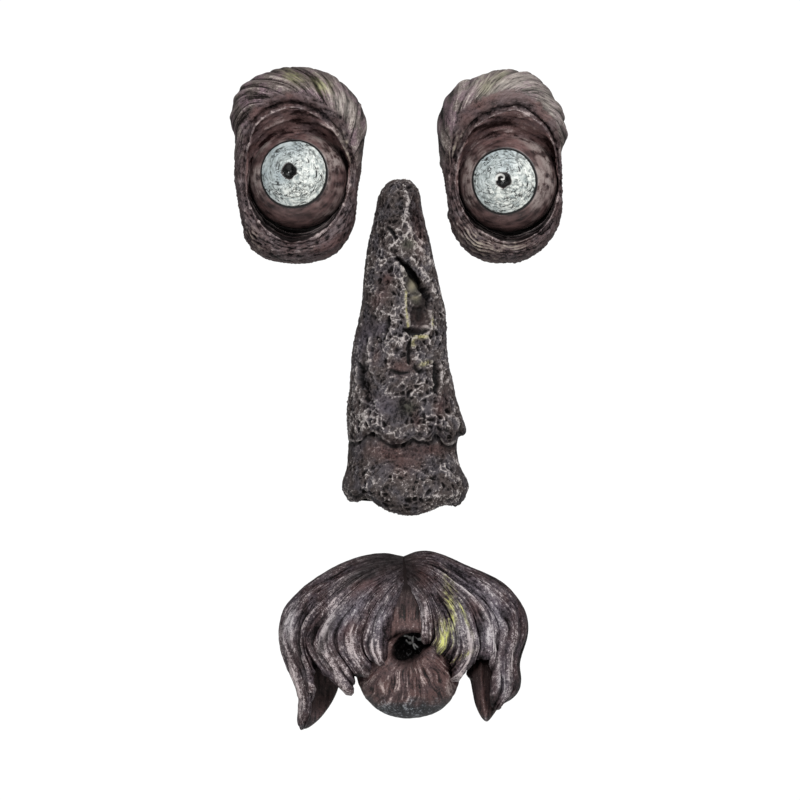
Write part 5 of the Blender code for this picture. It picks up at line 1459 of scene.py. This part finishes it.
def inner_face(side, seed):
    """The smooth hollow face behind a hanging end, with faint strands down it."""
    middle, outline = INNER_FACES[side]
    profile = [
        (0.04, 8.5), (0.3, 8.6), (0.6, 8.8), (0.82, 8.6), (0.95, 7.4), (1.0, 5.2), (1.0, 2.5), (0.985, 0.3),
    ]
    x, z, depth, share, _ = domed(outline, middle, profile, 44, 130)
    depth = depth + 4.0 * rise(-28, -12, z) * rise(1.0, 0.7, share)
    ridge = to_line(x, z, [(34.2, -11.0), (34.9, -20.0), (35.6, -29.0), (36.9, -37.0)])[0]
    depth = depth + 1.1 * bell(ridge, 1.1) * rise(1.0, 0.85, share)
    strands = ripple(placed(x / 1.1, z / 9.0, 0 * x), seed)
    rings = placed(x, -np.maximum(depth + 0.25 * strands * rise(0, 3, depth), 0), z)
    raised = np.clip(0.4 + 0.2 * strands + 0.2 * bell(ridge, 0.9), 0, 1)
    # Painted shade: the hollow face is dark except at its lowest tip, and lighter along a ridge.
    dark = 0.75 * rise(-38.5, -30, z) + 0 * x
    return rings, {
        "raised": raised, "dark": dark * (1 - 0.7 * bell(ridge, 1.2)), "hole": 0 * x,
        "cold": 0.7 - 0.7 * rise(-38, -34, z) + 0 * x, "across": x / 1.3, "along": z / 9.0,
    }


def parting_skin():
    """The smooth skin that shows where the hair parts, with the screw slot in its flat back."""
    profile = [
        (0.03, 1.0), (0.3, 1.0), (0.6, 1.0), (0.85, 0.98), (0.97, 0.9), (1.0, 0.75), (1.0, 0.4), (0.99, 0.0),
    ]
    x, z, fullness, _, _ = domed(SKIN, SKIN_MIDDLE, profile, 70, 150)
    rounded = np.sqrt(1 - (1 - np.clip((38.2 - z) / 14.0, 0, 1)) ** 2)
    front = (moustache_depth(x, z) * (0.36 + 0.64 * rounded) - 0.7 - 1.4 * rise(29.0, 22.0, z)) * fullness
    bent = x + 0.8 * np.sin(z / 6.0)
    valley = ripples(placed(bent / 2.2, z / 12.0, 0 * x), 3, 40)
    rings = placed(x, -np.maximum(front + 0.55 * valley * fullness, 0), z)
    back = np.array(back_rows(rings[-1][:, [0, 2]], np.array(MOUTH_SLOT), 4)[1:])
    # Painted shade: the skin in the parting is darker, most towards its top under the hair and towards its
    # bottom.
    dark = 0.1 + 0.4 * rise(6.0, 2.0, z) + 0.5 * rise(8.0, 18.0, z) + 0.4 * rise(18.0, 24.0, z)
    measures = {
        "raised": 0.4 + 0.24 * valley, "dark": np.clip(dark, 0, 1),
        "hole": 0 * x, "cold": 0 * x, "across": bent / 1.6, "along": z / 10,
    }
    extra = np.zeros(back.shape[:2])
    measures = {title: np.concatenate([value, extra]) for title, value in measures.items()}
    return np.concatenate([rings, back]), measures


def lips():
    """Puckered lips: rings from the bottom of the hole, over its edge, out to the lips' outline.
    The creases fan out from the hole, and two lobes swell beside it."""
    angles = np.linspace(0, 2 * np.pi, LIP_COLUMNS, endpoint=False)
    middle = np.array(HOLE_MIDDLE)
    hole, out = reach(np.array(HOLE) - middle, angles), reach(np.array(LIPS) - middle, angles)
    gap = out - hole
    rows = [
        (hole * 0.1, 12.5, 0), (hole * 0.4, 12.8, 0), (hole * 0.7, 14.2, 0), (hole * 0.9, 18.5, 0.0),
        (hole * 0.99, 22.6, 0.02), (hole + gap * 0.06, 25.0, 0.06), (hole + gap * 0.16, 26.2, 0.16),
        (hole + gap * 0.34, 26.2, 0.34), (hole + gap * 0.53, 24.8, 0.53), (hole + gap * 0.7, 22.2, 0.7),
        (hole + gap * 0.84, 18.6, 0.84), (hole + gap * 0.94, 14.2, 0.94), (hole + gap * 0.99, 9.5, 0.99),
        (out, 5.0, 1), (out * 0.99, 0.25, 1),
    ]
    distance = smooth_line([row[0] for row in rows], LIP_ROWS)
    depth = smooth_line([[row[1]] for row in rows], LIP_ROWS) + 0 * distance
    share = smooth_line([[row[2]] for row in rows], LIP_ROWS) + 0 * distance
    x, z = middle[0] + distance * np.cos(angles), middle[1] + distance * np.sin(angles)
    lobes = 1.5 * dab(x, z, (11.5, -8.5), (7.0, 4.5), 30) + 1.2 * dab(x, z, (-10.0, -13.0), (7.0, 5.0), -20)
    depth = depth + lobes * rise(0, 0.2, share) - 5.0 * rise(-3.0, 2.0, z) * rise(0, 3, depth)
    low = rise(-8, -16, z)
    fan = np.arctan2(z - 3.0, x - 2.2)
    bent = fan * 15 + 0.8 * ripple(placed(x / 5, z / 5, 0 * x), 80)
    crease = ripple(placed(bent, share * 2.5, 0 * x), 81)
    fine = ripple(placed(bent * 2.2, share * 5.0, 0 * x), 82)
    relief = (0.5 * crease + 0.5 * fine) * (0.4 + 0.6 * low) * rise(0.02, 0.2, share) * rise(1.0, 0.8, share)
    relief += 0.3 * ripples(placed(x, depth, z) / 2.5, 3, 83) * rise(0, 0.1, share)
    wet = 1 - rise(-0.01, 0.05, share)
    relief *= 1 - 0.5 * rise(-25.0, -32.0, z)
    relief += 1.5 * wet * ripples(placed(x, depth, z) / 2.4, 2, 84)
    away = np.min([to_line(x, z, line)[0] for line in HOLE_GLINTS], axis=0)
    away = away + 0.3 * ripple(placed(x, z, 0), 86)
    glint = (1 - rise(0.12, 0.55, away)) * wet
    relief += 0.5 * glint
    front = placed(x, -depth, z)
    carved = front + grid_normals(front, closed=True) * (relief * rise(0, 2.5, depth))[..., None]
    carved[..., 1] = np.minimum(carved[..., 1], 0)
    raised = np.clip(0.46 + 0.34 * relief + 0.15 * fine * low, 0, 1) * (1 - wet)
    cold = rise(-25.5, -32.0, z + 2.0 * ripple(placed(x / 3, z / 3, 0 * x), 85))
    dark = 0.8 * bell(share, 0.1) + 0.35 * dab(x, z, (2.0, -13.0), (6.0, 3.0))
    return carved, {
        "raised": raised, "dark": np.clip(dark, 0, 1), "hole": wet, "cold": cold, "glint": glint,
        "across": bent * 1.4, "along": share * 3.0,
    }


left, left_measures = hair_sweep(LEFT_HAIR, 90)
right, right_measures = hair_sweep(RIGHT_HAIR, 120)
lip_rings, lip_measures = lips()
drawn = np.concatenate([left.reshape(-1, 3), right.reshape(-1, 3), lip_rings.reshape(-1, 3)])
mouth_fit = fit(drawn, "mouth")
sweeps = [
    slab("moustache_left", left, left_measures, hair_back, mouth_fit),
    slab("moustache_right", right, right_measures, hair_back, mouth_fit),
]
combed_paint = hair_paint()
for sweep in sweeps:
    sweep.data.materials.append(combed_paint)
skins = [ringed("lips", lip_rings * mouth_fit[0] + mouth_fit[1], lip_measures)]
rings, measures = parting_skin()
skins.append(ringed("parting_skin", rings * mouth_fit[0] + mouth_fit[1], measures))
for number, side in enumerate(INNER_FACES):
    rings, measures = inner_face(side, 140 + number)
    skins.append(ringed(side, rings * mouth_fit[0] + mouth_fit[1], measures))
creased_paint = skin_paint()
for skin in skins:
    skin.data.materials.append(creased_paint)
for piece in sweeps + skins:
    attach(piece, "root")
    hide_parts("mouth")

# The stage: a pale floor below the face, soft studio light and a white surround.
# The face hangs in front of nothing, as on a shop's white page, seen straight on by a long lens.

FLOOR_HEIGHT = -0.30
FLOOR_RADIUS = 0.60
CAMERA_DISTANCE = 4.0
FRAME_WIDTH = 0.360
FRAME_MIDDLE = (-0.00135, -0.0270)


def plain_paint(name, colour, roughness):
    """A matt paint of one colour with a faint grain, for the floor."""
    material, tree, shader = painted(name)
    shader.inputs["Roughness"].default_value = roughness
    grain = tree.nodes.new("ShaderNodeTexNoise")
    grain.inputs["Scale"].default_value = 40.0
    grained = blend(tree, grain.outputs["Fac"], (*colour, 1), (*(0.97 * c for c in colour), 1))
    tree.links.new(grained, shader.inputs["Base Color"])
    return material


turn = np.linspace(0, 2 * np.pi, 96, endpoint=False)
disc = np.stack([np.cos(turn), np.sin(turn), 0 * turn], axis=1) * FLOOR_RADIUS
floor_mesh = bpy.data.meshes.new("floor")
floor_mesh.from_pydata((disc + [0, 0, FLOOR_HEIGHT]).tolist(), [], [list(range(len(turn)))])
floor = bpy.data.objects.new("floor", floor_mesh)
floor_mesh.materials.append(plain_paint("pale floor", (0.86, 0.86, 0.85), 0.7))
bpy.context.scene.collection.objects.link(floor)


def soft_light(name, place, towards, size, power):
    """A square studio light that faces a point."""
    lamp = bpy.data.lights.new(name, "AREA")
    lamp.size = size
    lamp.energy = power
    holder = bpy.data.objects.new(name, lamp)
    holder.location = place
    aim = Vector(towards) - Vector(place)
    holder.rotation_euler = aim.to_track_quat("-Z", "Y").to_euler()
    bpy.context.scene.collection.objects.link(holder)


soft_light("key light", (0.4, -1.6, 1.0), (0, 0, -0.02), 0.9, 41.0)
soft_light("fill light", (-1.3, -1.6, 0.25), (0, 0, -0.02), 1.2, 8.0)

world = bpy.data.worlds.new("white surround")
bpy.context.scene.world = world
world.use_nodes = True
world_nodes, world_links = world.node_tree.nodes, world.node_tree.links
backdrop = world_nodes["Background"]
backdrop.inputs["Color"].default_value = (1, 1, 1, 1)
seen = world_nodes.new("ShaderNodeLightPath")
strength = world_nodes.new("ShaderNodeMapRange")
strength.inputs["To Min"].default_value = 0.22
strength.inputs["To Max"].default_value = 1.05
world_links.new(seen.outputs["Is Camera Ray"], strength.inputs["Value"])
world_links.new(strength.outputs["Result"], backdrop.inputs["Strength"])
bpy.context.scene.view_settings.view_transform = "Standard"

lens = bpy.data.cameras.new("camera")
lens.lens = lens.sensor_width * CAMERA_DISTANCE / FRAME_WIDTH
lens.clip_end = 20.0
camera = bpy.data.objects.new("camera", lens)
camera.location = (FRAME_MIDDLE[0], -CAMERA_DISTANCE, FRAME_MIDDLE[1])
camera.rotation_euler = (np.pi / 2, 0, 0)
bpy.context.scene.collection.objects.link(camera)
bpy.context.scene.camera = camera
